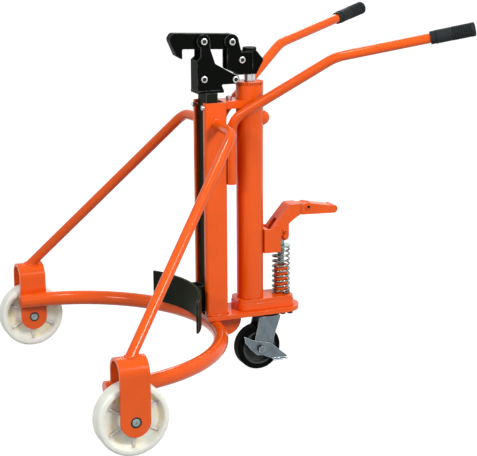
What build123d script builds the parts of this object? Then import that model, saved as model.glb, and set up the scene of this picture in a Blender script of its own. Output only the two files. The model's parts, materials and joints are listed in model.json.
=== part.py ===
from build123d import *
import math
import os

# Hydraulic drum truck, in millimetres: +Z up, floor at z = 0, drum side at -Y, handles at +Y.

# Running gear
TRACK = 920.0
WHEEL_DIA = 180.0
WHEEL_WIDTH = 50.0
WHEEL_RIM = 17.0
WHEEL_WEB = 18.0
WHEEL_RIBS = 6
WHEEL_RIB_THICK = 7.0
HUB_DIA = 64.0
AXLE_SETBACK = 19.5
AXLE_DIA = 20.0
AXLE_PROUD = 2.0
BEARING_DIA = 47.0
BEARING_WIDTH = 14.0
SPACER_DIA = 32.0
STRAP_THICK = 8.0
STRAP_WIDTH = 74.0
FORK_GAP = 63.0
FORK_TOP_Z = 242.0

# Base ring, braces and base plate
RING_DIA = 40.0
RING_WALL = 3.0
RING_Z = 146.0
RING_BACK_Y = -72.0
RING_TAIL = 22.0
BRACE_DIA = 27.0
BRACE_WALL = 2.5
BRACE_ELBOW = (175.0, -75.5, 694.0)
BRACE_MAST_Y = -63.5
BRACE_MAST_Z = 697.0
BRACE_BEND = 48.0
PLATE_THICK = 12.0
PLATE_WIDTH = 114.0
PLATE_REAR_Y = 186.0
GUSSET_THICK = 12.0
GUSSET_REACH = 88.0
GUSSET_DROP = 60.0
GUSSET_ROUND = 44.0

# Mast
MAST_Y = -68.0
MAST_WIDTH = 94.0
MAST_DEPTH = 62.0
MAST_WALL = 5.0
MAST_LIP = 16.0
MAST_BEND = 8.0
MAST_TOP_Z = 753.0
TIE_THICK = 20.0
TIE_WIDTH = 64.0
TIE_BOLT_DIA = 10.0
TIE_BOLT_HEAD = 16.0
STOP_BOLT_DIA = 6.0
STOP_BOLT_HEAD = 13.0
STOP_BOLT_RISE = 5.0
STOP_BOLT_REACH = 6.0
STOP_BOLT_DROP = 12.0

# Handles
HANDLE_DIA = 26.0
HANDLE_WALL = 2.5
HANDLE_X = 40.0
HANDLE_FOOT_Z = 534.0
HANDLE_KNEE_Z = 704.0
HANDLE_ELBOW = (174.0, 212.0, 873.0)
HANDLE_END = (318.7, 532.0, 945.0)
HANDLE_KNEE_BEND = 62.0
HANDLE_ELBOW_BEND = 120.0
GRIP_LENGTH = 112.0
GRIP_WALL = 5.5
GRIP_COLLAR = 1.5
GRIP_COLLAR_LENGTH = 6.0
GRIP_CAP = 4.0

# Hydraulic unit
CYLINDER_Y = 45.0
CYLINDER_DIA = 73.0
CYLINDER_WALL = 4.0
BORE_DIA = 46.0
BORE_WALL = 4.0
CAP_HEIGHT = 31.0
CAP_RISE = 46.0
CAP_NOTCHES = 36
CAP_NOTCH = 3.2
CAP_NOTCH_DEPTH = 2.2
CAP_NOTCH_HEIGHT = 9.0
CAP_SPIGOT = 8.0
ROD_DIA = 30.0
PISTON_HEIGHT = 30.0
PISTON_FLOOR = 34.0
ROD_STUD_DIA = 16.0
PLUG_DROP = 54.0
PLUG_DIA = 44.0
PLUG_REACH = 20.0
PLUG_ROUND = 14.0
BLOCK_HEIGHT = 30.0
BLOCK_WIDTH = 86.0
BLOCK_FRONT_Y = -1.0
BLOCK_REAR_Y = 164.0
BLOCK_ROUND = 22.0
BLOCK_STEP = 2.0
BLOCK_STEP_DROP = 11.0
BLOCK_BOLT_PLACE = (33.0, 150.0)
BLOCK_BOLT_DIA = 10.0
BLOCK_BOLT_HEAD_DIA = 16.0

# Foot pump
PUMP_Y = 137.0
BARREL_DIA = 38.0
BARREL_HEIGHT = 80.0
PLUNGER_DIA = 18.0
PLUNGER_DEPTH = 50.0
EYE_WIDTH = 20.0
EYE_HEIGHT = 26.0
COLLAR_DIA = 52.0
COLLAR_THICK = 4.0
SPRING_DIA = 46.0
SPRING_WIRE = 5.5
SPRING_TURNS = 10
SPRING_LENGTH = 132.0
SPRING_END_GAP = 0.8
LEVER_ARM = 34.0
LEVER_SWING = 22.0
CLEVIS_Z = 374.0
CLEVIS_DIA = 12.0
FULCRUM_DIA = 12.0
LEVER_WIDTH = 52.0
LEVER_SLOT = 22.0
LEVER_TOP_Z = 459.0
LEVER_NECK = 29.0
LEVER_SHIN_Y = 107.0
LEVER_CREST_Y = 154.0
LEVER_REAR_Y = 184.5
LEVER_BOSS = 13.0
LEVER_PLAY = 0.5
CLEVIS_PROUD = 7.0
CLEVIS_HEAD_DIA = 18.0
SPLIT_PIN_DIA = 3.0
SPLIT_PIN_RISE = 9.0
SPLIT_PIN_LOOP = 3.6
BRACKET_PLATE = 6.0
BRACKET_HEIGHT = 66.0
BRACKET_TOP_Z = 398.0
BRACKET_DEPTH = 41.0
PEDAL_PIN_Y = 209.0
PEDAL_PIN_Z = 447.0
PEDAL_PIN_DIA = 10.0
PEDAL_END_Y = 298.0
PEDAL_WIDTH = 44.0
PEDAL_TONGUE = 20.0
PEDAL_TOE_DIA = 22.0
PEDAL_DROOP = 3.5
PEDAL_BOSS = 12.0
PEDAL_GAP = 2.5

# Carriage and clamp head
MAST_PLAY = 0.3
INNER_WIDTH = 60.0
INNER_DEPTH = 32.0
INNER_WALL = 4.0
INNER_FRONT_SET = 10.0
PAD_HEIGHT = 34.0
PAD_LOW_Z = 196.0
PAD_HIGH_Z = 396.0
HEAD_WIDTH = 50.0
HEAD_PLATE = 6.0
HEAD_FOOT_RISE = 23.0
HEAD_FOOT_THICK = 7.0
HEAD_FOOT_PROUD = 2.0
HEAD_FRONT_Y = -110.5
HEAD_REAR_Y = -38.0
TONGUE_RISE = 22.0
PIVOT_EAR = 18.0
JAW_RISE = 108.0
JAW_NOTCH = 10.0
JAW_BEVEL = 8.0
WAIST_Y = -61.0
WAIST_RISE = 99.0
HOOK_PIVOT_Y = -93.0
HOOK_PIVOT_RISE = 158.0
HOOK_THICK = 24.6
HOOK_REACH = 90.0
HOOK_DEPTH = 38.0
HOOK_TOP = 23.0
HOOK_BROW = 10.0
HOOK_ROUND = 12.0
HOOK_NOSE_DROP = 15.0
HOOK_CHIN = 19.0
HOOK_BEAK_DROP = 45.0
HOOK_MOUTH = 36.5
LINK_PIN_Y = -12.0
LINK_PIN_RISE = 153.0
ROD_PIN_Y = 15.5
ROD_PIN_RISE = 105.0
TONGUE_BOLT_Y = -93.4
TONGUE_BOLT_RISE = 60.5
ARM_BOLT_Y = -5.6
ARM_BOLT_RISE = 56.0
ARM_TIP = 12.0
ARM_SLEEVE_DIA = 16.0
HEAD_BOLT_DIA = 12.0
HEAD_BOLT_HEAD = 18.0
HEAD_BOLT_RISE = 6.0
LINK_PLATE = 5.8
LINK_ROUND = 20.0
LINK_NECK = 12.0
LINK_REAR = 32.0
LINK_FLOOR = 2.0
LINK_PLAY = 0.8
ROD_HEAD_DEPTH = 62.0
ROD_HEAD_DROP = 40.0
ROD_HEAD_POINT = 21.0
ROD_HEAD_POINT_RISE = 37.0
ROD_CAP_DIA = 37.0
ROD_CAP_THICK = 8.5
DRUM_RADIUS = 300.0
DRUM_PLATE = 6.0
DRUM_PLATE_HEIGHT = 85.0
DRUM_PLATE_TOP_Z = 261.0
DRUM_PLATE_ANGLE = 68.0
DRUM_PLATE_REAR_Y = -119.0
WEB_WIDTH = 50.0
WEB_PLATE = 5.0
WEB_ROUND = 16.0
WEB_DROP = 3.0
WEB_RISE = 12.0

# Caster
CASTER_DIA = 125.0
CASTER_WIDTH = 38.0
CASTER_TYRE = 15.0
CASTER_SHOULDER = 5.0
HUB_LIP = 5.0
HUB_BOSS_DIA = 29.0
SWIVEL_Y = 97.0
CASTER_TRAIL = 32.0
CASTER_PLATE = 84.0
CASTER_PLATE_THICK = 5.0
CASTER_BOLT_DIA = 8.0
CASTER_BOLT_HEAD = 5.0
CASTER_BOLT_EDGE = 10.0
CASTER_LEG = 4.0
CASTER_LEG_GAP = 44.0
CASTER_LEG_WIDTH = 60.0
CASTER_LEG_TIP = 15.0
CASTER_AXLE_DIA = 12.0
CASTER_NUT = 20.0
CASTER_NUT_THICK = 9.0
CROWN_DIA = 68.0
RACE_DIA = 56.0
RACE_HEIGHT = 7.0
KINGPIN_DIA = 14.0
KINGPIN_NUT = 8.0
KINGPIN_NUT_DIA = 24.0
BRAKE_PLATE = 3.0
BRAKE_ROUND = 24.0
BRAKE_REACH = 77.0
BRAKE_CLAW = 40.0
BRAKE_DROP = 33.0
BRAKE_TREAD = 18.0

# Clearances
RUN = 0.05
SLIP = 0.3
SEAT = 0.1
CUT = 1.0
EDGE = 3.0

# Levels and places that follow from the sizes above
WHEEL_Z = WHEEL_DIA / 2
RING_R = TRACK / 2 - FORK_GAP / 2 - STRAP_THICK - RING_DIA / 2
RING_Y = RING_BACK_Y - RING_R
FRONT_AXLE_Y = RING_Y + AXLE_SETBACK
PLATE_LOW_Z = RING_Z + RING_DIA / 2
PLATE_TOP_Z = PLATE_LOW_Z + PLATE_THICK
MAST_FRONT_Y = MAST_Y - MAST_DEPTH / 2
MAST_REAR_Y = MAST_Y + MAST_DEPTH / 2
BLOCK_TOP_Z = PLATE_TOP_Z + BLOCK_HEIGHT
CAP_TOP_Z = MAST_TOP_Z + CAP_RISE
CAP_LOW_Z = CAP_TOP_Z - CAP_HEIGHT
PLUG_Z = MAST_TOP_Z - PLUG_DROP
CYLINDER_REAR_Y = CYLINDER_Y + CYLINDER_DIA / 2
HALF_SWING = math.radians(LEVER_SWING / 2)
FULCRUM_Y = PUMP_Y - LEVER_ARM * (1 + math.cos(HALF_SWING)) / 2
FULCRUM_Z = CLEVIS_Z - LEVER_ARM * math.sin(HALF_SWING)
CLEVIS_Y = FULCRUM_Y + LEVER_ARM * math.cos(HALF_SWING)
PLUNGER_STROKE = 2 * LEVER_ARM * math.sin(HALF_SWING)
SPRING_LOW_Z = BLOCK_TOP_Z
SPRING_TOP_Z = SPRING_LOW_Z + SPRING_LENGTH
INNER_FRONT_Y = MAST_FRONT_Y + INNER_FRONT_SET
INNER_REAR_Y = INNER_FRONT_Y + INNER_DEPTH
HEAD_INNER = HEAD_WIDTH / 2 - HEAD_PLATE
HEAD_FOOT_Z = MAST_TOP_Z + HEAD_FOOT_RISE
JAW_Z = MAST_TOP_Z + JAW_RISE
HOOK_PIVOT = (HOOK_PIVOT_Y, MAST_TOP_Z + HOOK_PIVOT_RISE)
LINK_PIN = (LINK_PIN_Y, MAST_TOP_Z + LINK_PIN_RISE)
ROD_PIN = (ROD_PIN_Y, MAST_TOP_Z + ROD_PIN_RISE)
TONGUE_BOLT = (TONGUE_BOLT_Y, MAST_TOP_Z + TONGUE_BOLT_RISE)
ARM_BOLT = (ARM_BOLT_Y, MAST_TOP_Z + ARM_BOLT_RISE)
CASTER_Z = CASTER_DIA / 2
CASTER_Y = SWIVEL_Y - CASTER_TRAIL

PARTS = {}


def keep(name, *solids):
    """Store one node, made of one or more solids."""
    PARTS[name] = solids[0] if len(solids) == 1 else Compound(children=list(solids))


def block(x0, x1, y0, y1, z0, z1):
    """Box between two corners."""
    return Pos((x0 + x1) / 2, (y0 + y1) / 2, (z0 + z1) / 2) * Box(x1 - x0, y1 - y0, z1 - z0)


def rod_x(dia, x0, x1, y, z):
    """Round bar along X."""
    return Pos((x0 + x1) / 2, y, z) * Rot(0, 90, 0) * Cylinder(dia / 2, x1 - x0)


def rod_y(dia, y0, y1, x, z):
    """Round bar along Y."""
    return Pos(x, (y0 + y1) / 2, z) * Rot(90, 0, 0) * Cylinder(dia / 2, y1 - y0)


def rod_z(dia, z0, z1, x, y):
    """Round bar along Z."""
    return Pos(x, y, (z0 + z1) / 2) * Cylinder(dia / 2, z1 - z0)


def tube_z(outer, inner, z0, z1, x, y):
    """Round tube along Z."""
    return rod_z(outer, z0, z1, x, y) - rod_z(inner, z0 - CUT, z1 + CUT, x, y)


def ring_x(outer, inner, x0, x1, y, z):
    """Round tube along X."""
    return rod_x(outer, x0, x1, y, z) - rod_x(inner, x0 - CUT, x1 + CUT, y, z)


def side_plate(outline, x0, x1):
    """Extrude a closed outline of edges, drawn in Y and Z, from x0 to x1."""
    return Pos(x0, 0, 0) * extrude(make_face(Plane.YZ * outline), amount=x1 - x0, dir=(1, 0, 0))


def rounded(points, radii):
    """Closed outline through points (y, z), each corner rounded by its own radius."""
    face = make_face(Polyline(*points, close=True))
    for (u, v), radius in zip(points, radii):
        if radius:
            corner = face.vertices().sort_by_distance((u, v, 0))[0]
            face = fillet(corner, radius)
    return face.face().outer_wire()


def bent_path(points, bends):
    """Path of straight runs through points, with an arc of its own radius at each inner corner."""
    points = [Vector(*p) for p in points]
    edges = []
    start = points[0]
    for before, corner, after, radius in zip(points, points[1:], points[2:], bends):
        into = (corner - before).normalized()
        away = (after - corner).normalized()
        half = into.get_angle(away) / 2
        reach = radius * math.tan(math.radians(half))
        first = corner - into * reach
        last = corner + away * reach
        inward = (away - into).normalized()
        middle = corner + inward * (radius / math.cos(math.radians(half)) - radius)
        edges.append(Line(start, first))
        edges.append(ThreePointArc(first, middle, last))
        start = last
    edges.append(Line(start, points[-1]))
    return Wire(edges)


def swept_tube(path, dia, wall):
    """Hollow round tube along a path."""
    at_start = Plane(path @ 0, z_dir=path % 0)
    return sweep(at_start * (Circle(dia / 2) - Circle(dia / 2 - wall)), path=path)


def sided(shape, side):
    """The shape on the +X side, or its mirror image on the -X side."""
    return shape if side > 0 else mirror(shape, Plane.YZ)


SIDES = {"right": 1, "left": -1}


def make_fork_envelope():
    """Outside of one strap fork as a filled arch, used to seat the brace on it."""
    half = FORK_GAP / 2 + STRAP_THICK
    arch_z = FORK_TOP_Z - half
    front = FRONT_AXLE_Y - STRAP_WIDTH / 2
    rear = FRONT_AXLE_Y + STRAP_WIDTH / 2
    arch = rod_y(2 * half, front, rear, TRACK / 2, arch_z)
    legs = block(TRACK / 2 - half, TRACK / 2 + half, front, rear, WHEEL_Z - STRAP_WIDTH / 2, arch_z)
    return arch + legs


def make_fork():
    """One strap bent to an inverted U, with full-round ends at the axle."""
    inner = FORK_GAP / 2
    half = inner + STRAP_THICK
    arch_z = FORK_TOP_Z - half
    low_z = WHEEL_Z - STRAP_WIDTH / 2
    gap_y = STRAP_WIDTH / 2 + CUT
    hollow = rod_y(FORK_GAP, FRONT_AXLE_Y - gap_y, FRONT_AXLE_Y + gap_y, TRACK / 2, arch_z)
    hollow += block(TRACK / 2 - inner, TRACK / 2 + inner, FRONT_AXLE_Y - gap_y, FRONT_AXLE_Y + gap_y,
                    low_z - CUT, arch_z)
    shape = make_fork_envelope() - hollow
    x0 = TRACK / 2 - half - CUT
    x1 = TRACK / 2 + half + CUT
    trim = rod_x(STRAP_WIDTH, x0, x1, FRONT_AXLE_Y, WHEEL_Z)
    trim += block(x0, x1, FRONT_AXLE_Y - gap_y, FRONT_AXLE_Y + gap_y, WHEEL_Z, FORK_TOP_Z + CUT)
    return (shape & trim) - rod_x(AXLE_DIA, x0, x1, FRONT_AXLE_Y, WHEEL_Z)


def make_base_ring():
    """Half-circle of tube with short straight tails, closed at their ends, beside the forks."""
    tail_y = RING_Y - RING_TAIL
    path = Wire([
        Line((RING_R, tail_y, RING_Z), (RING_R, RING_Y, RING_Z)),
        ThreePointArc((RING_R, RING_Y, RING_Z), (0, RING_BACK_Y, RING_Z), (-RING_R, RING_Y, RING_Z)),
        Line((-RING_R, RING_Y, RING_Z), (-RING_R, tail_y, RING_Z))])
    shape = swept_tube(path, RING_DIA, RING_WALL)
    for side in SIDES.values():
        shape += rod_y(RING_DIA, tail_y - RING_WALL, tail_y, side * RING_R, RING_Z)
    return shape


def make_brace():
    """Tube from the fork's arch up to an elbow and into the mast's side, cut to seat on both."""
    foot = (TRACK / 2, FRONT_AXLE_Y, FORK_TOP_Z - STRAP_THICK)
    inside = MAST_WIDTH / 2 - MAST_WALL
    path = bent_path([foot, BRACE_ELBOW, (inside, BRACE_MAST_Y, BRACE_MAST_Z)], [BRACE_BEND])
    mast = block(-MAST_WIDTH / 2, MAST_WIDTH / 2, MAST_FRONT_Y, MAST_REAR_Y, PLATE_TOP_Z, MAST_TOP_Z)
    return swept_tube(path, BRACE_DIA, BRACE_WALL) - make_fork_envelope() - mast


def make_mast():
    """Lipped channel, open to the front."""
    outer = RectangleRounded(MAST_WIDTH, MAST_DEPTH, MAST_BEND)
    inner = RectangleRounded(MAST_WIDTH - 2 * MAST_WALL, MAST_DEPTH - 2 * MAST_WALL, MAST_BEND - MAST_WALL)
    slot_width = MAST_WIDTH - 2 * MAST_LIP
    slot = Pos(0, -MAST_DEPTH / 2) * Rectangle(slot_width, 4 * MAST_WALL)
    shape = Pos(0, MAST_Y, PLATE_TOP_Z) * extrude(outer - inner - slot, amount=MAST_TOP_Z - PLATE_TOP_Z)
    for side in SIDES.values():
        shape -= stop_bolt_shank(side * stop_bolt_x(), 0)
    return shape


def stop_bolt_x():
    """Middle of the flat part of the mast's lip."""
    return (MAST_WIDTH - MAST_LIP - MAST_BEND) / 2


def stop_bolt_shank(x, reach):
    """Shank of one stop bolt through the mast's lip, reaching past its inner face."""
    end = MAST_FRONT_Y + MAST_WALL + reach
    return rod_y(STOP_BOLT_DIA, MAST_FRONT_Y, end, x, MAST_TOP_Z - STOP_BOLT_DROP)


def make_stop_bolt(x):
    """Bolt in the mast's lip whose end stops the carriage at the top."""
    z = MAST_TOP_Z - STOP_BOLT_DROP
    head = rod_y(STOP_BOLT_HEAD, MAST_FRONT_Y - STOP_BOLT_RISE, MAST_FRONT_Y, x, z)
    return head + stop_bolt_shank(x, STOP_BOLT_REACH)


def make_base_plate():
    """Plate from the mast's foot to a round rear end over the caster."""
    half = PLATE_WIDTH / 2
    shape = block(-half, half, MAST_FRONT_Y, PLATE_REAR_Y - half, PLATE_LOW_Z, PLATE_TOP_Z)
    return shape + rod_z(PLATE_WIDTH, PLATE_LOW_Z, PLATE_TOP_Z, 0, PLATE_REAR_Y - half)


def make_gusset():
    """Rounded web under the base plate, seated on the back of the ring."""
    y0 = RING_BACK_Y
    y1 = y0 + GUSSET_REACH
    z1 = PLATE_LOW_Z
    z0 = z1 - GUSSET_DROP
    outline = rounded([(y0, z1), (y1, z1), (y1, z0), (y0, z0)], [0, 0, GUSSET_ROUND, 0])
    ring = rod_x(RING_DIA, -GUSSET_THICK, GUSSET_THICK, RING_BACK_Y, RING_Z)
    web = side_plate(outline, -GUSSET_THICK / 2, GUSSET_THICK / 2) - ring
    return web & block(-GUSSET_THICK, GUSSET_THICK, y0 + RING_DIA / 4, y1 + CUT, z0 - CUT, z1)


def handle_points():
    """Run of the right handle from its foot behind the mast to its rear end."""
    y = MAST_REAR_Y + HANDLE_DIA / 2
    return [(HANDLE_X, y, HANDLE_FOOT_Z), (HANDLE_X, y, HANDLE_KNEE_Z), HANDLE_ELBOW, HANDLE_END]


def make_handle():
    """Bent handle tube."""
    path = bent_path(handle_points(), [HANDLE_KNEE_BEND, HANDLE_ELBOW_BEND])
    return swept_tube(path, HANDLE_DIA, HANDLE_WALL)


def make_grip():
    """Closed sleeve over the end of the handle, with a collar at its mouth."""
    end = Vector(*HANDLE_END)
    along = (end - Vector(*HANDLE_ELBOW)).normalized()
    inner = HANDLE_DIA / 2 + SEAT
    outer = inner + GRIP_WALL
    collar = outer + GRIP_COLLAR
    neck = GRIP_COLLAR_LENGTH
    profile = make_face(Polyline((inner, 0), (collar, 0), (collar, neck), (outer, neck + GRIP_COLLAR),
                                 (outer, GRIP_LENGTH), (outer - GRIP_CAP / 2, GRIP_LENGTH + GRIP_CAP),
                                 (0, GRIP_LENGTH + GRIP_CAP), (0, GRIP_LENGTH), (inner, GRIP_LENGTH),
                                 close=True))
    sleeve = revolve(Plane.XZ * profile, Axis.Z)
    return Plane(end - along * GRIP_LENGTH, z_dir=along) * sleeve


def make_axle():
    """Plain pin through both legs of the fork."""
    half = FORK_GAP / 2 + STRAP_THICK + AXLE_PROUD
    return rod_x(AXLE_DIA, TRACK / 2 - half, TRACK / 2 + half, FRONT_AXLE_Y, WHEEL_Z)


def make_axle_spacers():
    """Collars that centre the wheel between the legs."""
    near = WHEEL_WIDTH / 2 + SLIP
    far = FORK_GAP / 2
    solids = []
    for x0, x1 in ((near, far), (-far, -near)):
        solids.append(ring_x(SPACER_DIA, AXLE_DIA + 2 * SEAT, TRACK / 2 + x0, TRACK / 2 + x1,
                             FRONT_AXLE_Y, WHEEL_Z))
    return solids


def make_wheel():
    """Moulded wheel: full rim and hub, a thinner web with ribs on both faces."""
    radius = WHEEL_DIA / 2
    half = WHEEL_WIDTH / 2
    rim = radius - WHEEL_RIM
    shoulder = WHEEL_RIM / 3
    tread = rounded([(rim, -half), (radius, -half), (radius, half), (rim, half)], [0, shoulder, shoulder, 0])
    shape = revolve(Plane.XZ * make_face(tread), Axis.Z)
    shape += Cylinder(rim + WHEEL_RIM / 4, WHEEL_WEB)
    shape += Cylinder(HUB_DIA / 2, WHEEL_WIDTH)
    rib_height = WHEEL_WIDTH - WHEEL_RIM / 2
    ribs = PolarLocations((rim + HUB_DIA / 2) / 2, WHEEL_RIBS)
    for place in ribs:
        shape += place * Box(rim - HUB_DIA / 2 + WHEEL_RIM / 4, WHEEL_RIB_THICK, rib_height)
    shape -= Cylinder((AXLE_DIA + BEARING_DIA) / 4, WHEEL_WIDTH + CUT)
    seat = Cylinder(BEARING_DIA / 2, BEARING_WIDTH + SEAT)
    for side in SIDES.values():
        shape -= Pos(0, 0, side * (half - BEARING_WIDTH / 2)) * seat
    return Pos(TRACK / 2, FRONT_AXLE_Y, WHEEL_Z) * Rot(0, 90, 0) * shape


def make_wheel_bearings():
    """Ball bearings in the two ends of the hub."""
    inner = WHEEL_WIDTH / 2 - BEARING_WIDTH
    outer = WHEEL_WIDTH / 2
    solids = []
    for x0, x1 in ((inner, outer), (-outer, -inner)):
        solids.append(ring_x(BEARING_DIA - 2 * SEAT, AXLE_DIA + 2 * RUN, TRACK / 2 + x0, TRACK / 2 + x1,
                             FRONT_AXLE_Y, WHEEL_Z))
    return solids


def make_tie():
    """Plate between the mast's top and the cylinder, hollowed to fit round it."""
    low_z = MAST_TOP_Z - TIE_THICK
    shape = block(-TIE_WIDTH / 2, TIE_WIDTH / 2, MAST_REAR_Y, CYLINDER_Y, low_z, MAST_TOP_Z)
    shape -= rod_z(CYLINDER_DIA, low_z - CUT, MAST_TOP_Z + CUT, 0, CYLINDER_Y)
    return shape - rod_z(TIE_BOLT_DIA, low_z + TIE_THICK / 4, MAST_TOP_Z + CUT, 0, tie_bolt_y())


def tie_bolt_y():
    """Middle of the gap between the mast and the cylinder."""
    return (MAST_REAR_Y + CYLINDER_Y - CYLINDER_DIA / 2) / 2


def make_tie_bolt():
    """Cap screw in the tie's top face."""
    y = tie_bolt_y()
    shank = rod_z(TIE_BOLT_DIA, MAST_TOP_Z - TIE_THICK * 3 / 4, MAST_TOP_Z, 0, y)
    head = rod_z(TIE_BOLT_HEAD, MAST_TOP_Z, MAST_TOP_Z + TIE_BOLT_DIA, 0, y)
    socket = Pos(0, y, MAST_TOP_Z + TIE_BOLT_DIA)
    socket *= extrude(RegularPolygon(TIE_BOLT_DIA / 2, 6), amount=-TIE_BOLT_DIA / 2)
    return shank + head - socket


def make_pump_block():
    """Round-cornered block with a stepped top that carries the cylinder and the pump barrel."""
    length = BLOCK_REAR_Y - BLOCK_FRONT_Y
    middle = (BLOCK_REAR_Y + BLOCK_FRONT_Y) / 2
    step = 2 * BLOCK_STEP
    lower = RectangleRounded(BLOCK_WIDTH, length, BLOCK_ROUND)
    upper = RectangleRounded(BLOCK_WIDTH - step, length - step, BLOCK_ROUND - BLOCK_STEP)
    shape = Pos(0, middle, PLATE_TOP_Z) * extrude(lower, amount=BLOCK_HEIGHT - BLOCK_STEP_DROP)
    shape += Pos(0, middle, PLATE_TOP_Z) * extrude(upper, amount=BLOCK_HEIGHT)
    for x, y in block_bolt_places():
        shape -= rod_z(BLOCK_BOLT_DIA, PLATE_TOP_Z - CUT, block_bolt_top(), x, y)
    return shape


def block_bolt_places():
    """Places of the two screws that hold the block down."""
    x, y = BLOCK_BOLT_PLACE
    return [(x, y), (-x, y)]


def block_bolt_top():
    """Top of the screws in the block."""
    return PLATE_TOP_Z + BLOCK_HEIGHT / 2


def make_block_bolts():
    """Cap screws up through the base plate into the block."""
    solids = []
    for x, y in block_bolt_places():
        head = rod_z(BLOCK_BOLT_HEAD_DIA, PLATE_LOW_Z - BLOCK_BOLT_DIA, PLATE_LOW_Z, x, y)
        solids.append(head + rod_z(BLOCK_BOLT_DIA, PLATE_LOW_Z, block_bolt_top(), x, y))
    return solids


def make_gland_cap():
    """Screwed cap with a notched top edge, a spigot in the tube and a bore for the rod."""
    inner = CYLINDER_DIA - 2 * CYLINDER_WALL - 2 * SEAT
    shape = rod_z(CYLINDER_DIA, CAP_LOW_Z, CAP_TOP_Z, 0, CYLINDER_Y)
    shape += rod_z(inner, CAP_LOW_Z - CAP_SPIGOT, CAP_LOW_Z, 0, CYLINDER_Y)
    shape -= rod_z(ROD_DIA + 2 * RUN, CAP_LOW_Z - CAP_SPIGOT - CUT, CAP_TOP_Z + CUT, 0, CYLINDER_Y)
    notch = Box(2 * CAP_NOTCH_DEPTH, CAP_NOTCH, 2 * CAP_NOTCH_HEIGHT)
    for place in PolarLocations(CYLINDER_DIA / 2, CAP_NOTCHES):
        shape -= Pos(0, CYLINDER_Y, CAP_TOP_Z) * place * notch
    return shape


def make_filler_plug():
    """Domed boss on the rear of the reservoir."""
    reach = CYLINDER_DIA / 2 + PLUG_REACH
    shape = Cylinder(PLUG_DIA / 2, reach, align=(Align.CENTER, Align.CENTER, Align.MIN))
    shape = fillet(shape.edges().group_by(Axis.Z)[-1], PLUG_ROUND)
    shape = Pos(0, CYLINDER_Y, PLUG_Z) * Rot(-90, 0, 0) * shape
    half = CYLINDER_DIA / 2
    low = PLUG_Z - PLUG_DIA
    top = PLUG_Z + PLUG_DIA
    shape -= rod_z(CYLINDER_DIA, low, top, 0, CYLINDER_Y)
    return shape & block(-half, half, CYLINDER_Y, CYLINDER_Y + reach + CUT, low, top)


def make_pump_barrel():
    """Barrel on the block, bored for the plunger."""
    top = BLOCK_TOP_Z + BARREL_HEIGHT
    floor = top - PLUNGER_DEPTH - PLUNGER_STROKE - SLIP
    shape = rod_z(BARREL_DIA, BLOCK_TOP_Z, top, 0, PUMP_Y)
    return shape - rod_z(PLUNGER_DIA + 2 * RUN, floor, top + CUT, 0, PUMP_Y)


def make_plunger():
    """Plunger with a collar over the spring and a slotted eye that lets the clevis pin swing."""
    low = BLOCK_TOP_Z + BARREL_HEIGHT - PLUNGER_DEPTH
    shape = rod_z(PLUNGER_DIA, low, CLEVIS_Z, 0, PUMP_Y)
    shape += rod_z(COLLAR_DIA, SPRING_TOP_Z, SPRING_TOP_Z + COLLAR_THICK, 0, PUMP_Y)
    half = EYE_HEIGHT / 2
    eye = rod_x(EYE_HEIGHT, -EYE_WIDTH / 2, EYE_WIDTH / 2, PUMP_Y, CLEVIS_Z)
    eye += block(-EYE_WIDTH / 2, EYE_WIDTH / 2, PUMP_Y - half, PUMP_Y + half, CLEVIS_Z - half, CLEVIS_Z)
    sway = LEVER_ARM - LEVER_ARM * math.cos(HALF_SWING) + SLIP
    hole = CLEVIS_DIA + 2 * SLIP
    slot = SlotOverall(hole + 2 * sway, hole)
    return shape + eye - Pos(-EYE_WIDTH, PUMP_Y, CLEVIS_Z) * extrude(Plane.YZ * slot, amount=2 * EYE_WIDTH)


def spring_height(turn):
    """Height of the wire's middle above the spring's foot after a number of turns."""
    end_pitch = SPRING_WIRE + SPRING_END_GAP
    run = SPRING_LENGTH - SPRING_WIRE - 2 * SLIP - 2 * end_pitch
    pitch = run / (SPRING_TURNS - 2)
    start = SPRING_WIRE / 2 + SLIP
    if turn <= 1:
        return start + end_pitch * turn
    if turn >= SPRING_TURNS - 1:
        return start + end_pitch * (turn - SPRING_TURNS + 2) + run
    return start + end_pitch + pitch * (turn - 1)


def spring_point(turn):
    """Point on the wire's middle line."""
    angle = 2 * math.pi * turn
    radius = SPRING_DIA / 2
    x = radius * math.cos(angle)
    y = PUMP_Y + radius * math.sin(angle)
    return Vector(x, y, SPRING_LOW_Z + spring_height(turn))


def biarc(first, into, last, out):
    """Two arcs from one point and direction to another, smooth where they meet."""
    chord = last - first
    both = into + out
    bend = 2 * (1 - into.dot(out))
    reach = (math.sqrt(chord.dot(both) ** 2 + bend * chord.dot(chord)) - chord.dot(both)) / bend
    middle = (first + last + (into - out) * reach) * 0.5
    across = ((last - out * reach) - (first + into * reach)).normalized()
    return [TangentArc(first, middle, tangent=into), TangentArc(middle, last, tangent=across)]


def make_spring():
    """Compression spring with drawn-in end turns, one unbroken wire."""
    step = 0.25
    count = round(SPRING_TURNS / step)
    points = [spring_point(i * step) for i in range(count + 1)]
    tiny = 0.01
    ways = []
    for i in range(count + 1):
        low = max(i * step - tiny, 0)
        high = min(i * step + tiny, SPRING_TURNS)
        ways.append((spring_point(high) - spring_point(low)).normalized())
    edges = []
    for i in range(count):
        edges += biarc(points[i], ways[i], points[i + 1], ways[i + 1])
    path = Wire(edges)
    start = Plane(points[0], z_dir=ways[0])
    print("spring: least gap between turns", round(spring_gap(), 2), "mm")
    return sweep(start * Circle(SPRING_WIRE / 2), path=path)


def spring_gap():
    """Least gap between the wire and itself, measured on points at least half a turn apart."""
    samples = 24
    points = [spring_point(i / samples) for i in range(SPRING_TURNS * samples + 1)]
    gap = SPRING_LENGTH
    for i, point in enumerate(points):
        for other in points[i + samples // 2:]:
            gap = min(gap, (other - point).length - SPRING_WIRE)
    return gap


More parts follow.
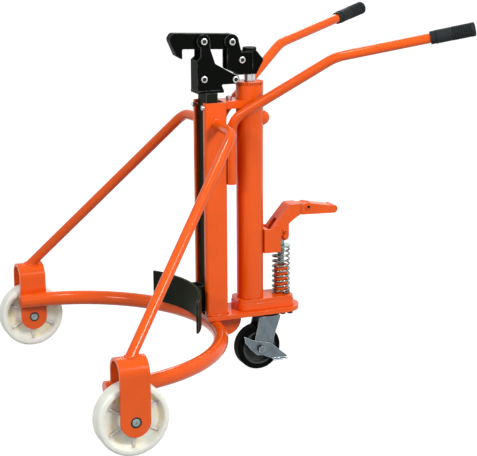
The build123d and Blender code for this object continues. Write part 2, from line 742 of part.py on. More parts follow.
def make_lever_bracket():
    """Channel on the rear of the cylinder, with a saddle front and a side plate each side of the lever."""
    inner = LEVER_WIDTH / 2 + LEVER_PLAY
    outer = inner + BRACKET_PLATE
    web_y = CYLINDER_REAR_Y + BRACKET_PLATE
    low = BRACKET_TOP_Z - BRACKET_HEIGHT
    rear = CYLINDER_REAR_Y + BRACKET_DEPTH
    shape = block(-outer, outer, CYLINDER_REAR_Y - BRACKET_PLATE, rear, low, BRACKET_TOP_Z)
    shape -= block(-inner, inner, web_y, rear + CUT, low - CUT, BRACKET_TOP_Z + CUT)
    shape -= rod_z(CYLINDER_DIA, low - CUT, BRACKET_TOP_Z + CUT, 0, CYLINDER_Y)
    return shape - rod_x(FULCRUM_DIA, -outer - CUT, outer + CUT, FULCRUM_Y, FULCRUM_Z)


def make_fulcrum_pin():
    """Pin of the lever, flush with the bracket."""
    half = LEVER_WIDTH / 2 + LEVER_PLAY + BRACKET_PLATE
    return rod_x(FULCRUM_DIA, -half, half, FULCRUM_Y, FULCRUM_Z)


def make_lever():
    """Foot lever: two cheeks over the plunger, joined above, with a tongue for the pedal."""
    half = LEVER_WIDTH / 2
    boss = LEVER_BOSS
    neck_z = LEVER_TOP_Z - LEVER_NECK
    fork_z = BRACKET_TOP_Z + LEVER_SLOT
    heel = FULCRUM_Y - boss
    calf = CLEVIS_Y + boss
    outline = rounded(
        [(heel, FULCRUM_Z), (heel, FULCRUM_Z + boss), (LEVER_SHIN_Y, BRACKET_TOP_Z + boss / 2),
         (LEVER_CREST_Y, LEVER_TOP_Z), (LEVER_REAR_Y, LEVER_TOP_Z), (LEVER_REAR_Y, neck_z),
         (calf + boss, neck_z - boss), (calf, fork_z - boss), (calf, CLEVIS_Z)],
        [0, boss / 2, 0, boss, 0, 0, boss / 2, boss / 2, 0])
    shape = side_plate(outline, -half, half)
    shape += rod_x(2 * boss, -half, half, FULCRUM_Y, FULCRUM_Z)
    shape += rod_x(2 * boss, -half, half, CLEVIS_Y, CLEVIS_Z)
    shape -= block(-LEVER_SLOT / 2, LEVER_SLOT / 2, heel - boss, calf + boss, FULCRUM_Z - 2 * boss, fork_z)
    tip = PEDAL_PIN_DIA
    shape += block(-PEDAL_TONGUE / 2, PEDAL_TONGUE / 2, LEVER_REAR_Y - CUT, PEDAL_PIN_Y,
                   PEDAL_PIN_Z - tip, PEDAL_PIN_Z + tip)
    shape += rod_x(2 * tip, -PEDAL_TONGUE / 2, PEDAL_TONGUE / 2, PEDAL_PIN_Y, PEDAL_PIN_Z)
    shape -= rod_x(PEDAL_PIN_DIA + 2 * RUN, -half, half, PEDAL_PIN_Y, PEDAL_PIN_Z)
    shape -= rod_x(FULCRUM_DIA + 2 * RUN, -half - CUT, half + CUT, FULCRUM_Y, FULCRUM_Z)
    return shape - rod_x(CLEVIS_DIA, -half - CUT, half + CUT, CLEVIS_Y, CLEVIS_Z)


def make_clevis_pin():
    """Headed pin through the lever and the plunger's eye, drilled for its split pin."""
    half = LEVER_WIDTH / 2
    shape = rod_x(CLEVIS_DIA, -half, half + CLEVIS_PROUD, CLEVIS_Y, CLEVIS_Z)
    shape += rod_x(CLEVIS_HEAD_DIA, -half - CLEVIS_PROUD / 2, -half, CLEVIS_Y, CLEVIS_Z)
    return shape - split_pin_bar(SEAT)


def split_pin_bar(slack):
    """Straight part of the split pin, or its hole when slack is given."""
    x = LEVER_WIDTH / 2 + CLEVIS_PROUD / 2
    dia = SPLIT_PIN_DIA + 2 * slack
    return rod_z(dia, CLEVIS_Z - CLEVIS_DIA, CLEVIS_Z + SPLIT_PIN_RISE, x, CLEVIS_Y)


def make_split_pin():
    """Split pin with its ring above the clevis pin."""
    x = LEVER_WIDTH / 2 + CLEVIS_PROUD / 2
    loop = Rot(0, 90, 0) * Torus(SPLIT_PIN_LOOP, SPLIT_PIN_DIA / 2)
    return split_pin_bar(0) + Pos(x, CLEVIS_Y, CLEVIS_Z + CLEVIS_DIA) * loop


def make_pedal():
    """Folding tread with two round ears over the lever's tongue and a round toe."""
    half = PEDAL_WIDTH / 2
    front = LEVER_REAR_Y + PEDAL_GAP
    rise = LEVER_TOP_Z - PEDAL_GAP - PEDAL_PIN_Z
    low = LEVER_TOP_Z - LEVER_NECK - PEDAL_GAP
    toe_low = low - PEDAL_DROOP
    toe_y = PEDAL_END_Y - PEDAL_TOE_DIA / 2
    outline = rounded([(front, low), (front, PEDAL_PIN_Z + rise), (PEDAL_PIN_Y + rise, PEDAL_PIN_Z + rise),
                       (toe_y, toe_low + PEDAL_TOE_DIA - PEDAL_GAP), (toe_y, toe_low)],
                      [EDGE, EDGE, rise / 2, 0, 0])
    shape = side_plate(outline, -half, half)
    shape += rod_x(2 * PEDAL_BOSS, -half, half, PEDAL_PIN_Y, PEDAL_PIN_Z)
    shape += rod_x(PEDAL_TOE_DIA, -half, half, toe_y, toe_low + PEDAL_TOE_DIA / 2)
    slot = PEDAL_TONGUE / 2 + SLIP
    slot_end = PEDAL_PIN_Y + PEDAL_PIN_DIA + PEDAL_GAP
    shape -= block(-slot, slot, front - CUT, slot_end, low - CUT, PEDAL_PIN_Z + PEDAL_BOSS + CUT)
    return shape - rod_x(PEDAL_PIN_DIA, -half - CUT, half + CUT, PEDAL_PIN_Y, PEDAL_PIN_Z)


def make_pedal_pin():
    """Hinge pin of the pedal, flush with its ears."""
    return rod_x(PEDAL_PIN_DIA, -PEDAL_WIDTH / 2, PEDAL_WIDTH / 2, PEDAL_PIN_Y, PEDAL_PIN_Z)


def make_inner_mast():
    """Rectangular tube that slides in the mast and rests on the base plate."""
    y = (INNER_FRONT_Y + INNER_REAR_Y) / 2
    low = PLATE_TOP_Z + SLIP
    ring = Rectangle(INNER_WIDTH, INNER_DEPTH)
    ring -= Rectangle(INNER_WIDTH - 2 * INNER_WALL, INNER_DEPTH - 2 * INNER_WALL)
    return Pos(0, y, low) * extrude(ring, amount=HEAD_FOOT_Z - low)


def make_guide_shoe(low):
    """Plastic shoe round the inner mast, open at the mast's slot."""
    width = MAST_WIDTH - 2 * MAST_WALL - 2 * MAST_PLAY
    depth = MAST_DEPTH - 2 * MAST_WALL - 2 * MAST_PLAY
    slot = MAST_WIDTH - 2 * MAST_LIP
    shape = Pos(0, MAST_Y) * RectangleRounded(width, depth, MAST_BEND - MAST_WALL + MAST_PLAY)
    shape -= Pos(0, (INNER_FRONT_Y + INNER_REAR_Y) / 2) * Rectangle(INNER_WIDTH, INNER_DEPTH)
    shape -= Pos(0, INNER_FRONT_Y - INNER_FRONT_SET / 2) * Rectangle(slot, INNER_FRONT_SET)
    return Pos(0, 0, low) * extrude(shape, amount=PAD_HEIGHT)


def make_mast_head():
    """Foot plate on the inner mast with an upright tongue for the clamp bracket's lower bolt."""
    y, z = TONGUE_BOLT
    floor = HEAD_FOOT_Z + HEAD_FOOT_THICK
    tongue = HEAD_INNER - SEAT
    edge = HEAD_WIDTH / 2 + HEAD_FOOT_PROUD
    shape = block(-edge, edge, HEAD_FRONT_Y, HEAD_REAR_Y, HEAD_FOOT_Z, floor)
    shape += block(-tongue, tongue, HEAD_FRONT_Y + HEAD_PLATE, y + TONGUE_RISE, floor, z + TONGUE_RISE)
    return shape - rod_x(HEAD_BOLT_DIA, -HEAD_WIDTH, HEAD_WIDTH, y, z)


def make_clamp_bracket():
    """Bent bracket: a front wall with the fixed jaw, two side plates with a rear arm each."""
    half = HEAD_WIDTH / 2
    front = HEAD_FRONT_Y
    low = HEAD_FOOT_Z + HEAD_FOOT_THICK
    pivot_y, pivot_z = HOOK_PIVOT
    arm_y, arm_z = ARM_BOLT
    inset = front + JAW_NOTCH
    ear = PIVOT_EAR
    outline = rounded(
        [(front, low), (front, JAW_Z), (inset, JAW_Z + JAW_BEVEL), (inset, pivot_z),
         (pivot_y + ear, pivot_z), (pivot_y + ear, pivot_z - ear), (WAIST_Y, MAST_TOP_Z + WAIST_RISE),
         (arm_y, arm_z + ARM_TIP), (arm_y, arm_z - ARM_TIP), (HEAD_REAR_Y - HEAD_PLATE, arm_z - ARM_TIP),
         (HEAD_REAR_Y, low)],
        [0, 0, JAW_NOTCH / 2, 0, 0, 0, ARM_TIP / 2, 0, 0, HEAD_PLATE / 2, 0])
    shape = side_plate(outline, -half, half)
    shape += rod_x(2 * ear, -half, half, pivot_y, pivot_z)
    shape += rod_x(2 * ARM_TIP, -half, half, arm_y, arm_z)
    rear = arm_y + 2 * ARM_TIP
    shape -= block(-HEAD_INNER, HEAD_INNER, front + HEAD_PLATE, rear, low - CUT, JAW_Z)
    shape -= block(-HEAD_INNER, HEAD_INNER, front - CUT, rear, JAW_Z, pivot_z + 2 * ear)
    for y, z in (HOOK_PIVOT, TONGUE_BOLT, ARM_BOLT):
        shape -= rod_x(HEAD_BOLT_DIA, -half - CUT, half + CUT, y, z)
    return shape


def make_head_bolt(place, half):
    """Cap screw across the head: round head with a socket at +X, nut end at -X."""
    y, z = place
    shape = rod_x(HEAD_BOLT_DIA, -half, half, y, z)
    shape += rod_x(HEAD_BOLT_HEAD, half, half + HEAD_BOLT_RISE, y, z)
    shape += rod_x(HEAD_BOLT_HEAD, -half - HEAD_BOLT_RISE, -half, y, z)
    socket = Pos(half + HEAD_BOLT_RISE, y, z) * Rot(0, 90, 0)
    return shape - socket * extrude(RegularPolygon(HEAD_BOLT_DIA / 2, 6), amount=-HEAD_BOLT_RISE / 2)


def make_pivot_spacers():
    """Collars that centre the hook between the bracket's plates."""
    y, z = HOOK_PIVOT
    near = HOOK_THICK / 2 + SLIP
    solids = []
    for x0, x1 in ((near, HEAD_INNER), (-HEAD_INNER, -near)):
        solids.append(ring_x(HEAD_BOLT_HEAD, HEAD_BOLT_DIA + 2 * SEAT, x0, x1, y, z))
    return solids


def make_arm_sleeve():
    """Sleeve on the arm bolt that keeps the two arms apart."""
    y, z = ARM_BOLT
    return ring_x(ARM_SLEEVE_DIA, HEAD_BOLT_DIA + 2 * SEAT, -HEAD_INNER, HEAD_INNER, y, z)


def make_hook():
    """Clamp lever: a beak in front of the pivot and an eye for the link behind it."""
    half = HOOK_THICK / 2
    py, pz = HOOK_PIVOT
    ly, lz = LINK_PIN
    nose = py - HOOK_REACH
    under = pz - HOOK_DEPTH / 2
    top = pz + HOOK_TOP
    tip_y = HEAD_FRONT_Y - HOOK_MOUTH
    tip_z = pz - HOOK_BEAK_DROP
    outline = rounded(
        [(ly, lz + LINK_ROUND), (nose + HOOK_BROW, top), (nose, top - HOOK_NOSE_DROP),
         (nose + HOOK_CHIN, tip_z + HOOK_BROW), (tip_y, tip_z), (tip_y, under), (ly, lz - LINK_ROUND)],
        [0, HOOK_ROUND, HOOK_ROUND, EDGE, 0, EDGE, 0])
    shape = side_plate(outline, -half, half)
    shape += rod_x(2 * LINK_ROUND, -half, half, ly, lz)
    shape -= rod_x(HEAD_BOLT_DIA + 2 * RUN, -half - CUT, half + CUT, py, pz)
    return shape - rod_x(HEAD_BOLT_DIA, -half - CUT, half + CUT, ly, lz)


def make_link_plate(side):
    """Link from the hook's rear eye to the rod head, cut away over the arm's sleeve."""
    x0 = HOOK_THICK / 2 + SLIP
    x1 = x0 + LINK_PLATE
    ly, lz = LINK_PIN
    ry, rz = ROD_PIN
    ay, az = ARM_BOLT
    clear = ARM_SLEEVE_DIA / 2 + LINK_ROUND / 4
    rear = ry + LINK_REAR
    low = rod_head_levels()[0] + LINK_FLOOR
    top = rz + LINK_ROUND
    outline = rounded(
        [(ly - LINK_NECK, lz), (ly - LINK_NECK, az + 2 * clear), (ay + clear, low), (rear, low),
         (rear, top), (ry, top), (ly + LINK_ROUND, lz)],
        [0, clear / 2, clear / 4, clear / 3, clear / 4, 0, 0])
    shape = side_plate(outline, x0, x1) + rod_x(2 * LINK_ROUND, x0, x1, ly, lz)
    shape -= rod_x(HEAD_BOLT_DIA + 2 * RUN, x0 - CUT, x1 + CUT, ly, lz)
    shape -= rod_x(HEAD_BOLT_DIA + 2 * LINK_PLAY, x0 - CUT, x1 + CUT, ry, rz)
    return sided(shape, side)


def rod_head_levels():
    """Underside and top of the rod head."""
    low = ROD_PIN[1] - ROD_HEAD_DROP
    return low, low + ROD_HEAD_DEPTH


def make_rod_head():
    """Block on the rod's end, with a pointed rear and the link's bolt in front."""
    half = HOOK_THICK / 2
    low, top = rod_head_levels()
    front = ROD_PIN[0] - HEAD_BOLT_DIA
    back = CYLINDER_Y + ROD_DIA / 2
    outline = rounded([(front, low), (back, low), (back + ROD_HEAD_POINT, low + ROD_HEAD_POINT_RISE),
                       (back, top), (front, top)], [EDGE, EDGE, 2 * EDGE, EDGE, EDGE])
    shape = side_plate(outline, -half, half)
    shape -= rod_z(ROD_STUD_DIA, low - CUT, top + CUT, 0, CYLINDER_Y)
    return shape - rod_x(HEAD_BOLT_DIA, -half - CUT, half + CUT, *ROD_PIN)


def make_piston_rod():
    """Plated rod from the piston to a stud through the rod head."""
    low, top = rod_head_levels()
    foot = BLOCK_TOP_Z + PISTON_FLOOR + PISTON_HEIGHT
    shape = rod_z(ROD_DIA, foot, low, 0, CYLINDER_Y)
    return shape + rod_z(ROD_STUD_DIA, low, top, 0, CYLINDER_Y)


def make_piston():
    """Piston on the rod's lower end."""
    low = BLOCK_TOP_Z + PISTON_FLOOR
    return rod_z(BORE_DIA - 2 * RUN, low, low + PISTON_HEIGHT, 0, CYLINDER_Y)


def make_rod_cap():
    """Round nut on the rod's stud."""
    top = rod_head_levels()[1]
    shape = Pos(0, CYLINDER_Y, top) * Cylinder(ROD_CAP_DIA / 2, ROD_CAP_THICK,
                                               align=(Align.CENTER, Align.CENTER, Align.MIN))
    return chamfer(shape.edges().group_by(Axis.Z)[-1], ROD_CAP_THICK / 4)


def make_drum_plate():
    """Curved plate that the drum's side leans on."""
    outer = DRUM_RADIUS + DRUM_PLATE
    half = math.radians(DRUM_PLATE_ANGLE / 2)
    reach = 2 * outer
    sector = make_face(Polyline((0, 0), (reach * math.sin(half), reach * math.cos(half)),
                                (-reach * math.sin(half), reach * math.cos(half)), close=True))
    shape = (Circle(outer) - Circle(DRUM_RADIUS)) & sector
    low = DRUM_PLATE_TOP_Z - DRUM_PLATE_HEIGHT
    return Pos(0, DRUM_PLATE_REAR_Y - outer, low) * extrude(shape, amount=DRUM_PLATE_HEIGHT)


def make_plate_bracket():
    """Strap bent to a U, its round back on the inner mast and its ends on the drum plate."""
    low = DRUM_PLATE_TOP_Z - DRUM_PLATE_HEIGHT + WEB_RISE
    top = DRUM_PLATE_TOP_Z - WEB_DROP
    outer = DRUM_RADIUS + DRUM_PLATE
    middle = Pos(0, INNER_FRONT_Y - WEB_WIDTH / 2)
    inside = WEB_WIDTH - 2 * WEB_PLATE
    loop = middle * RectangleRounded(WEB_WIDTH, WEB_WIDTH, WEB_ROUND)
    loop -= middle * RectangleRounded(inside, inside, WEB_ROUND - WEB_PLATE)
    loop -= Pos(0, DRUM_PLATE_REAR_Y - outer) * Circle(outer)
    return Pos(0, 0, low) * extrude(loop, amount=top - low)


def caster_bolt_places():
    """Corners of the caster plate's bolt pattern."""
    reach = CASTER_PLATE / 2 - CASTER_BOLT_EDGE
    return [(x, SWIVEL_Y + y) for x in (-reach, reach) for y in (-reach, reach)]


def make_caster_plate():
    """Square top plate under the base plate."""
    low = PLATE_LOW_Z - CASTER_PLATE_THICK
    plate = RectangleRounded(CASTER_PLATE, CASTER_PLATE, CASTER_BOLT_DIA)
    shape = Pos(0, SWIVEL_Y, low) * extrude(plate, amount=CASTER_PLATE_THICK)
    for x, y in caster_bolt_places():
        shape -= rod_z(CASTER_BOLT_DIA + 2 * SEAT, low - CUT, PLATE_LOW_Z + CUT, x, y)
    return shape - rod_z(KINGPIN_DIA, low - CUT, PLATE_LOW_Z + CUT, 0, SWIVEL_Y)


def make_caster_bolts():
    """Hexagon screws up through the caster plate into the base plate."""
    low = PLATE_LOW_Z - CASTER_PLATE_THICK
    solids = []
    for x, y in caster_bolt_places():
        head = Pos(x, y, low) * extrude(RegularPolygon(CASTER_BOLT_DIA, 6), amount=-CASTER_BOLT_HEAD)
        solids.append(head + rod_z(CASTER_BOLT_DIA, low, PLATE_LOW_Z + PLATE_THICK / 2, x, y))
    return solids


def crown_top():
    """Height of the caster fork's crown under the swivel race."""
    return PLATE_LOW_Z - CASTER_PLATE_THICK - RACE_HEIGHT - SLIP


def make_swivel_race():
    """Ball race pressed up against the caster plate."""
    top = PLATE_LOW_Z - CASTER_PLATE_THICK
    return tube_z(RACE_DIA, KINGPIN_DIA + 2 * SEAT, top - RACE_HEIGHT, top, 0, SWIVEL_Y)


def make_kingpin():
    """Swivel pin with its nut under the fork's crown."""
    low = crown_top() - CASTER_LEG - SLIP
    shape = rod_z(KINGPIN_DIA, low - KINGPIN_NUT, PLATE_LOW_Z, 0, SWIVEL_Y)
    nut = extrude(RegularPolygon(KINGPIN_NUT_DIA / 2, 6), amount=-KINGPIN_NUT)
    return shape + Pos(0, SWIVEL_Y, low) * nut


def make_caster_fork():
    """Pressed fork: a round crown and two legs that lean to the axle."""
    top = crown_top()
    inner = CASTER_LEG_GAP / 2
    outer = inner + CASTER_LEG
    half = CASTER_LEG_WIDTH / 2
    crown = rod_z(CROWN_DIA, top - CASTER_LEG, top, 0, SWIVEL_Y)
    crown &= block(-outer, outer, SWIVEL_Y - CROWN_DIA, SWIVEL_Y + CROWN_DIA, top - CASTER_LEG, top)
    shape = crown + block(-outer, outer, SWIVEL_Y - half, SWIVEL_Y + half, top - CASTER_LEG, top)
    tip = CASTER_LEG_TIP
    rear = SWIVEL_Y + half
    outline = rounded([(SWIVEL_Y - half, top), (rear, top), (rear, top - 2 * CASTER_LEG),
                       (CASTER_Y + tip, CASTER_Z), (CASTER_Y - tip, CASTER_Z),
                       (CASTER_Y - tip, CASTER_Z + tip)], [0, 0, tip, 0, 0, tip])
    for side in SIDES.values():
        leg = side_plate(outline, inner, outer) + rod_x(2 * tip, inner, outer, CASTER_Y, CASTER_Z)
        shape += sided(leg, side)
    shape -= rod_z(KINGPIN_DIA + 2 * RUN, top - CASTER_LEG - CUT, top + CUT, 0, SWIVEL_Y)
    return shape - rod_x(CASTER_AXLE_DIA, -outer - CUT, outer + CUT, CASTER_Y, CASTER_Z)


def make_caster_axle():
    """Axle bolt with a head at -X and a nut outside the brake plate at +X."""
    outer = CASTER_LEG_GAP / 2 + CASTER_LEG
    nut = outer + BRAKE_PLATE + 2 * SLIP
    shape = rod_x(CASTER_AXLE_DIA, -outer, nut + CASTER_NUT_THICK, CASTER_Y, CASTER_Z)
    hexagon = extrude(RegularPolygon(CASTER_NUT / 2, 6), amount=CASTER_NUT_THICK)
    shape += Pos(nut, CASTER_Y, CASTER_Z) * Rot(0, 90, 0) * hexagon
    return shape + Pos(-outer, CASTER_Y, CASTER_Z) * Rot(0, -90, 0) * hexagon


def make_caster_tyre():
    """Black tyre with rounded shoulders."""
    radius = CASTER_DIA / 2
    half = CASTER_WIDTH / 2
    inner = radius - CASTER_TYRE
    tread = rounded([(inner, -half), (radius, -half), (radius, half), (inner, half)],
                    [0, CASTER_SHOULDER, CASTER_SHOULDER, 0])
    return Pos(0, CASTER_Y, CASTER_Z) * Rot(0, 90, 0) * revolve(Plane.XZ * make_face(tread), Axis.Z)


def make_caster_hub():
    """Grey hub with a thinner web, on the axle."""
    radius = CASTER_DIA / 2 - CASTER_TYRE - SEAT
    half = CASTER_LEG_GAP / 2 - SLIP
    shape = rod_x(2 * radius, -CASTER_WIDTH / 2, CASTER_WIDTH / 2, CASTER_Y, CASTER_Z)
    for x0, x1 in ((CASTER_WIDTH / 4, CASTER_WIDTH), (-CASTER_WIDTH, -CASTER_WIDTH / 4)):
        shape -= ring_x(2 * (radius - HUB_LIP), HUB_BOSS_DIA, x0, x1, CASTER_Y, CASTER_Z)
    shape += rod_x(HUB_BOSS_DIA, -half, half, CASTER_Y, CASTER_Z)
    return shape - rod_x(CASTER_AXLE_DIA + 2 * RUN, -half - CUT, half + CUT, CASTER_Y, CASTER_Z)


def make_brake_plate():
    """Side brake on the axle: a claw at the front and a bent tread at the rear."""
    x0 = CASTER_LEG_GAP / 2 + CASTER_LEG + SLIP
    x1 = x0 + BRAKE_PLATE
    y, z = CASTER_Y, CASTER_Z
    low = z - BRAKE_DROP
    wing = y + BRAKE_REACH
    arc = BRAKE_ROUND
    outline = rounded(
        [(y - 2 * arc, z + BRAKE_CLAW), (y - arc, z + arc), (y + arc, z + arc / 2), (wing, low + BRAKE_PLATE),
         (wing, low), (y + arc, low), (y - arc, z - arc), (y - 2 * arc, z)],
        [EDGE, arc / 4, arc / 4, 0, 0, EDGE, arc / 2, EDGE])
    shape = side_plate(outline, x0, x1)
    shape += block(x0, x1 + BRAKE_TREAD, y + BRAKE_ROUND, wing, low, low + BRAKE_PLATE)
    return shape - rod_x(CASTER_AXLE_DIA + 2 * RUN, x0 - CUT, x1 + CUT, y, z)


def drilled_base_plate():
    """Base plate with the holes of the bolts under it."""
    shape = make_base_plate()
    for x, y in caster_bolt_places():
        shape -= rod_z(CASTER_BOLT_DIA + 2 * SEAT, PLATE_LOW_Z - CUT, PLATE_LOW_Z + PLATE_THICK / 2, x, y)
    for x, y in block_bolt_places():
        shape -= rod_z(BLOCK_BOLT_DIA + 2 * SEAT, PLATE_LOW_Z - CUT, PLATE_TOP_Z + CUT, x, y)
    return shape


def build_frame():
    """Welded frame, forks, axles, handles and grips."""
    keep("base_ring", make_base_ring())
    keep("base_plate", drilled_base_plate())
    keep("ring_gusset", make_gusset())
    keep("mast_channel", make_mast())
    keep("mast_stop_bolts", make_stop_bolt(stop_bolt_x()), make_stop_bolt(-stop_bolt_x()))
    keep("mast_tie", make_tie())
    keep("tie_bolt", make_tie_bolt())
    keep("front_axles", *[sided(make_axle(), side) for side in SIDES.values()])
    keep("axle_spacers", *[sided(solid, side) for side in SIDES.values() for solid in make_axle_spacers()])
    for name, side in SIDES.items():
        keep(f"{name}_fork", sided(make_fork(), side))
        keep(f"{name}_brace", sided(make_brace(), side))
        keep(f"{name}_handle", sided(make_handle(), side))
        keep(f"{name}_grip", sided(make_grip(), side))
        keep(f"{name}_wheel", sided(make_wheel(), side))
        keep(f"{name}_wheel_bearings", *[sided(solid, side) for solid in make_wheel_bearings()])


def build_hydraulics():
    """Cylinder, ram and foot pump."""
    bore_top = CAP_LOW_Z - CAP_SPIGOT
    keep("pump_block", make_pump_block())
    keep("reservoir_tube", tube_z(CYLINDER_DIA, CYLINDER_DIA - 2 * CYLINDER_WALL, BLOCK_TOP_Z, CAP_LOW_Z,
                                  0, CYLINDER_Y))
    keep("inner_cylinder", tube_z(BORE_DIA + 2 * BORE_WALL, BORE_DIA, BLOCK_TOP_Z, bore_top, 0, CYLINDER_Y))
    keep("gland_cap", make_gland_cap())
    keep("filler_plug", make_filler_plug())
    keep("pump_barrel", make_pump_barrel())
    keep("lever_bracket", make_lever_bracket())
    keep("fulcrum_pin", make_fulcrum_pin())
    keep("pump_lever", make_lever())
    keep("clevis_pin", make_clevis_pin(), make_split_pin())
    keep("pedal", make_pedal())
    keep("pedal_pin", make_pedal_pin())
    keep("plunger", make_plunger())
    keep("return_spring", make_spring())
    keep("piston_rod", make_piston_rod())
    keep("piston", make_piston())


def build_carriage():
    """Inner mast with the drum plate and the clamp head."""
    keep("inner_mast", make_inner_mast())
    keep("guide_shoes", make_guide_shoe(PAD_LOW_Z), make_guide_shoe(PAD_HIGH_Z))
    keep("drum_plate", make_drum_plate())
    keep("plate_bracket", make_plate_bracket())
    keep("mast_head", make_mast_head())
    keep("clamp_bracket", make_clamp_bracket())
    places = (HOOK_PIVOT, TONGUE_BOLT, ARM_BOLT)
    keep("head_bolts", *[make_head_bolt(place, HEAD_WIDTH / 2) for place in places])
    keep("head_spacers", *make_pivot_spacers(), make_arm_sleeve())
    link_half = HOOK_THICK / 2 + SLIP + LINK_PLATE + SLIP
    keep("hook", make_hook())
    keep("link_bolt", make_head_bolt(LINK_PIN, link_half))
    keep("link_plates", *[make_link_plate(side) for side in SIDES.values()])
    keep("rod_head", make_rod_head())
    keep("rod_head_bolt", make_head_bolt(ROD_PIN, link_half))
    keep("rod_cap", make_rod_cap())


def build_caster():
    """Braked swivel caster."""
    keep("caster_plate", make_caster_plate())
    keep("plate_bolts", *make_caster_bolts(), *make_block_bolts())
    keep("swivel_race", make_swivel_race())
    keep("kingpin", make_kingpin())
    keep("caster_fork", make_caster_fork())
    keep("caster_axle", make_caster_axle())
    keep("caster_tyre", make_caster_tyre())
    keep("caster_hub", make_caster_hub())
    keep("brake_plate", make_brake_plate())


build_frame()
build_hydraulics()
build_carriage()
build_caster()

os.makedirs("parts", exist_ok=True)
for node, shape in PARTS.items():
    export_step(shape, f"parts/{node}.step")
print(len(PARTS), "nodes")
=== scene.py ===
"""Looks of the hydraulic drum truck, in metres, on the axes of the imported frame."""

import json
import logging
import math
from dataclasses import dataclass
from enum import Enum
from typing import Iterable, Optional, Sequence, Union

import bmesh
import bpy
from mathutils import Matrix, Vector

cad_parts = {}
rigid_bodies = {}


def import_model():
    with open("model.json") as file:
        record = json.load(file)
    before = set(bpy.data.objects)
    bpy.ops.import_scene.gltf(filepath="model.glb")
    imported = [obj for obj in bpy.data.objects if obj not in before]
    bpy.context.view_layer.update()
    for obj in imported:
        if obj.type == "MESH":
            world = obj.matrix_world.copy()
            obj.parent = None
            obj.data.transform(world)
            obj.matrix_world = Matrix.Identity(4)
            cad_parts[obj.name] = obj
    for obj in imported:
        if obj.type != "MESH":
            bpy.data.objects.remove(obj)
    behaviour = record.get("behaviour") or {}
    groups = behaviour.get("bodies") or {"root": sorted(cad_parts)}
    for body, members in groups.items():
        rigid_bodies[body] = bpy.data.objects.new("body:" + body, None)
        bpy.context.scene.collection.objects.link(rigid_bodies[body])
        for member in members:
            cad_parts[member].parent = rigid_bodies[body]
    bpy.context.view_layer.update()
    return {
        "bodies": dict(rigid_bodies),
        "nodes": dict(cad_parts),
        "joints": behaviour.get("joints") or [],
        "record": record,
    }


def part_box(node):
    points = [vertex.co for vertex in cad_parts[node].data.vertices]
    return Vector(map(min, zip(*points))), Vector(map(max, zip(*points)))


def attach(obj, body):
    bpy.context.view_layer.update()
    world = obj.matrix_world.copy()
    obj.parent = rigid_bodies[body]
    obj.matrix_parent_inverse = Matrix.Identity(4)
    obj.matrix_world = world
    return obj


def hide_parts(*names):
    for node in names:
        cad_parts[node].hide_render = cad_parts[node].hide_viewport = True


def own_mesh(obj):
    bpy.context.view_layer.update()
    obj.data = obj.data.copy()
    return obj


LOG = logging.getLogger("drum_truck")
CASTER_AXLE = (0.065, 0.0625)
KINGPIN_BORE = 0.0071
SOCKET_FIT = 0.97
TURNED_TIP = 0.0003
Pair = tuple[float, float]
Point = tuple[float, float, float]
Colour = tuple[float, float, float]
Term = Union[float, "Signal"]


class Side(Enum):
    """The two mirror-image sides of the truck."""

    RIGHT = 1
    LEFT = -1

    @property
    def label(self) -> str:
        """Name that starts a node of this side."""
        return self.name.lower()


class Signal:
    """Output of a shader node that takes part in sums and products."""

    def __init__(self, graph: "Graph", socket: Optional[bpy.types.NodeSocket]) -> None:
        """Keep the socket and the graph that it belongs to."""
        self.graph = graph
        self.socket = socket

    def _math(self, operation: str, first: Term, second: Term) -> "Signal":
        """Add one Math node."""
        return self.graph.node("ShaderNodeMath", {"operation": operation}, {0: first, 1: second})

    def __add__(self, other: Term) -> "Signal":
        """Sum."""
        return self._math("ADD", self, other)

    def __sub__(self, other: Term) -> "Signal":
        """Difference."""
        return self._math("SUBTRACT", self, other)

    def __rsub__(self, other: Term) -> "Signal":
        """Difference from a plain number."""
        return self._math("SUBTRACT", other, self)

    def __mul__(self, other: Term) -> "Signal":
        """Product."""
        return self._math("MULTIPLY", self, other)

    __radd__ = __add__

    def __pow__(self, other: Term) -> "Signal":
        """Power."""
        return self._math("POWER", self, other)

    def held(self) -> "Signal":
        """The value kept between 0 and 1."""
        return self.graph.node("ShaderNodeClamp", {}, {"Value": self})

    def step(self, low: float, high: float) -> "Signal":
        """Smooth rise from 0 at low to 1 at high.

        Args:
            low: Value where the rise starts.
            high: Value where the rise ends.

        Returns:
            The eased signal.
        """
        settings = {"interpolation_type": "SMOOTHSTEP"}
        inputs = {"Value": self, "From Min": low, "From Max": high}
        return self.graph.node("ShaderNodeMapRange", settings, inputs)


class Graph:
    """Node tree that grows by one method."""

    def __init__(self, tree: bpy.types.NodeTree) -> None:
        """Take over a tree and empty it."""
        self.tree = tree
        tree.nodes.clear()

    def node(self, kind: str, settings: dict, inputs: dict, output: Union[int, str] = 0) -> Signal:
        """Add a node.

        Args:
            kind: The node's type.
            settings: Its properties.
            inputs: Values or signals of its sockets, by name or number.
            output: The socket to return.

        Returns:
            The chosen output, which is empty for a node that ends the tree.
        """
        made = self.tree.nodes.new(kind)
        for key, value in settings.items():
            setattr(made, key, value)
        for key, value in inputs.items():
            self.feed(made.inputs[key], value)
        return Signal(self, made.outputs[output] if made.outputs else None)

    def feed(self, socket: bpy.types.NodeSocket, value: object) -> None:
        """Link a signal to a socket, or set the socket's own value."""
        if isinstance(value, Signal):
            self.tree.links.new(value.socket, socket)
        elif isinstance(value, tuple) and socket.type == "RGBA":
            socket.default_value = (*value, 1.0)
        else:
            socket.default_value = value

    def shown(self) -> Signal:
        """1 for a ray that shows the background itself: to the camera, in a reflection or through glass."""
        kinds = ("Is Camera Ray", "Is Glossy Ray", "Is Transmission Ray")
        camera, glossy, through = (self.node("ShaderNodeLightPath", {}, {}, kind) for kind in kinds)
        return (camera + glossy + through).held()


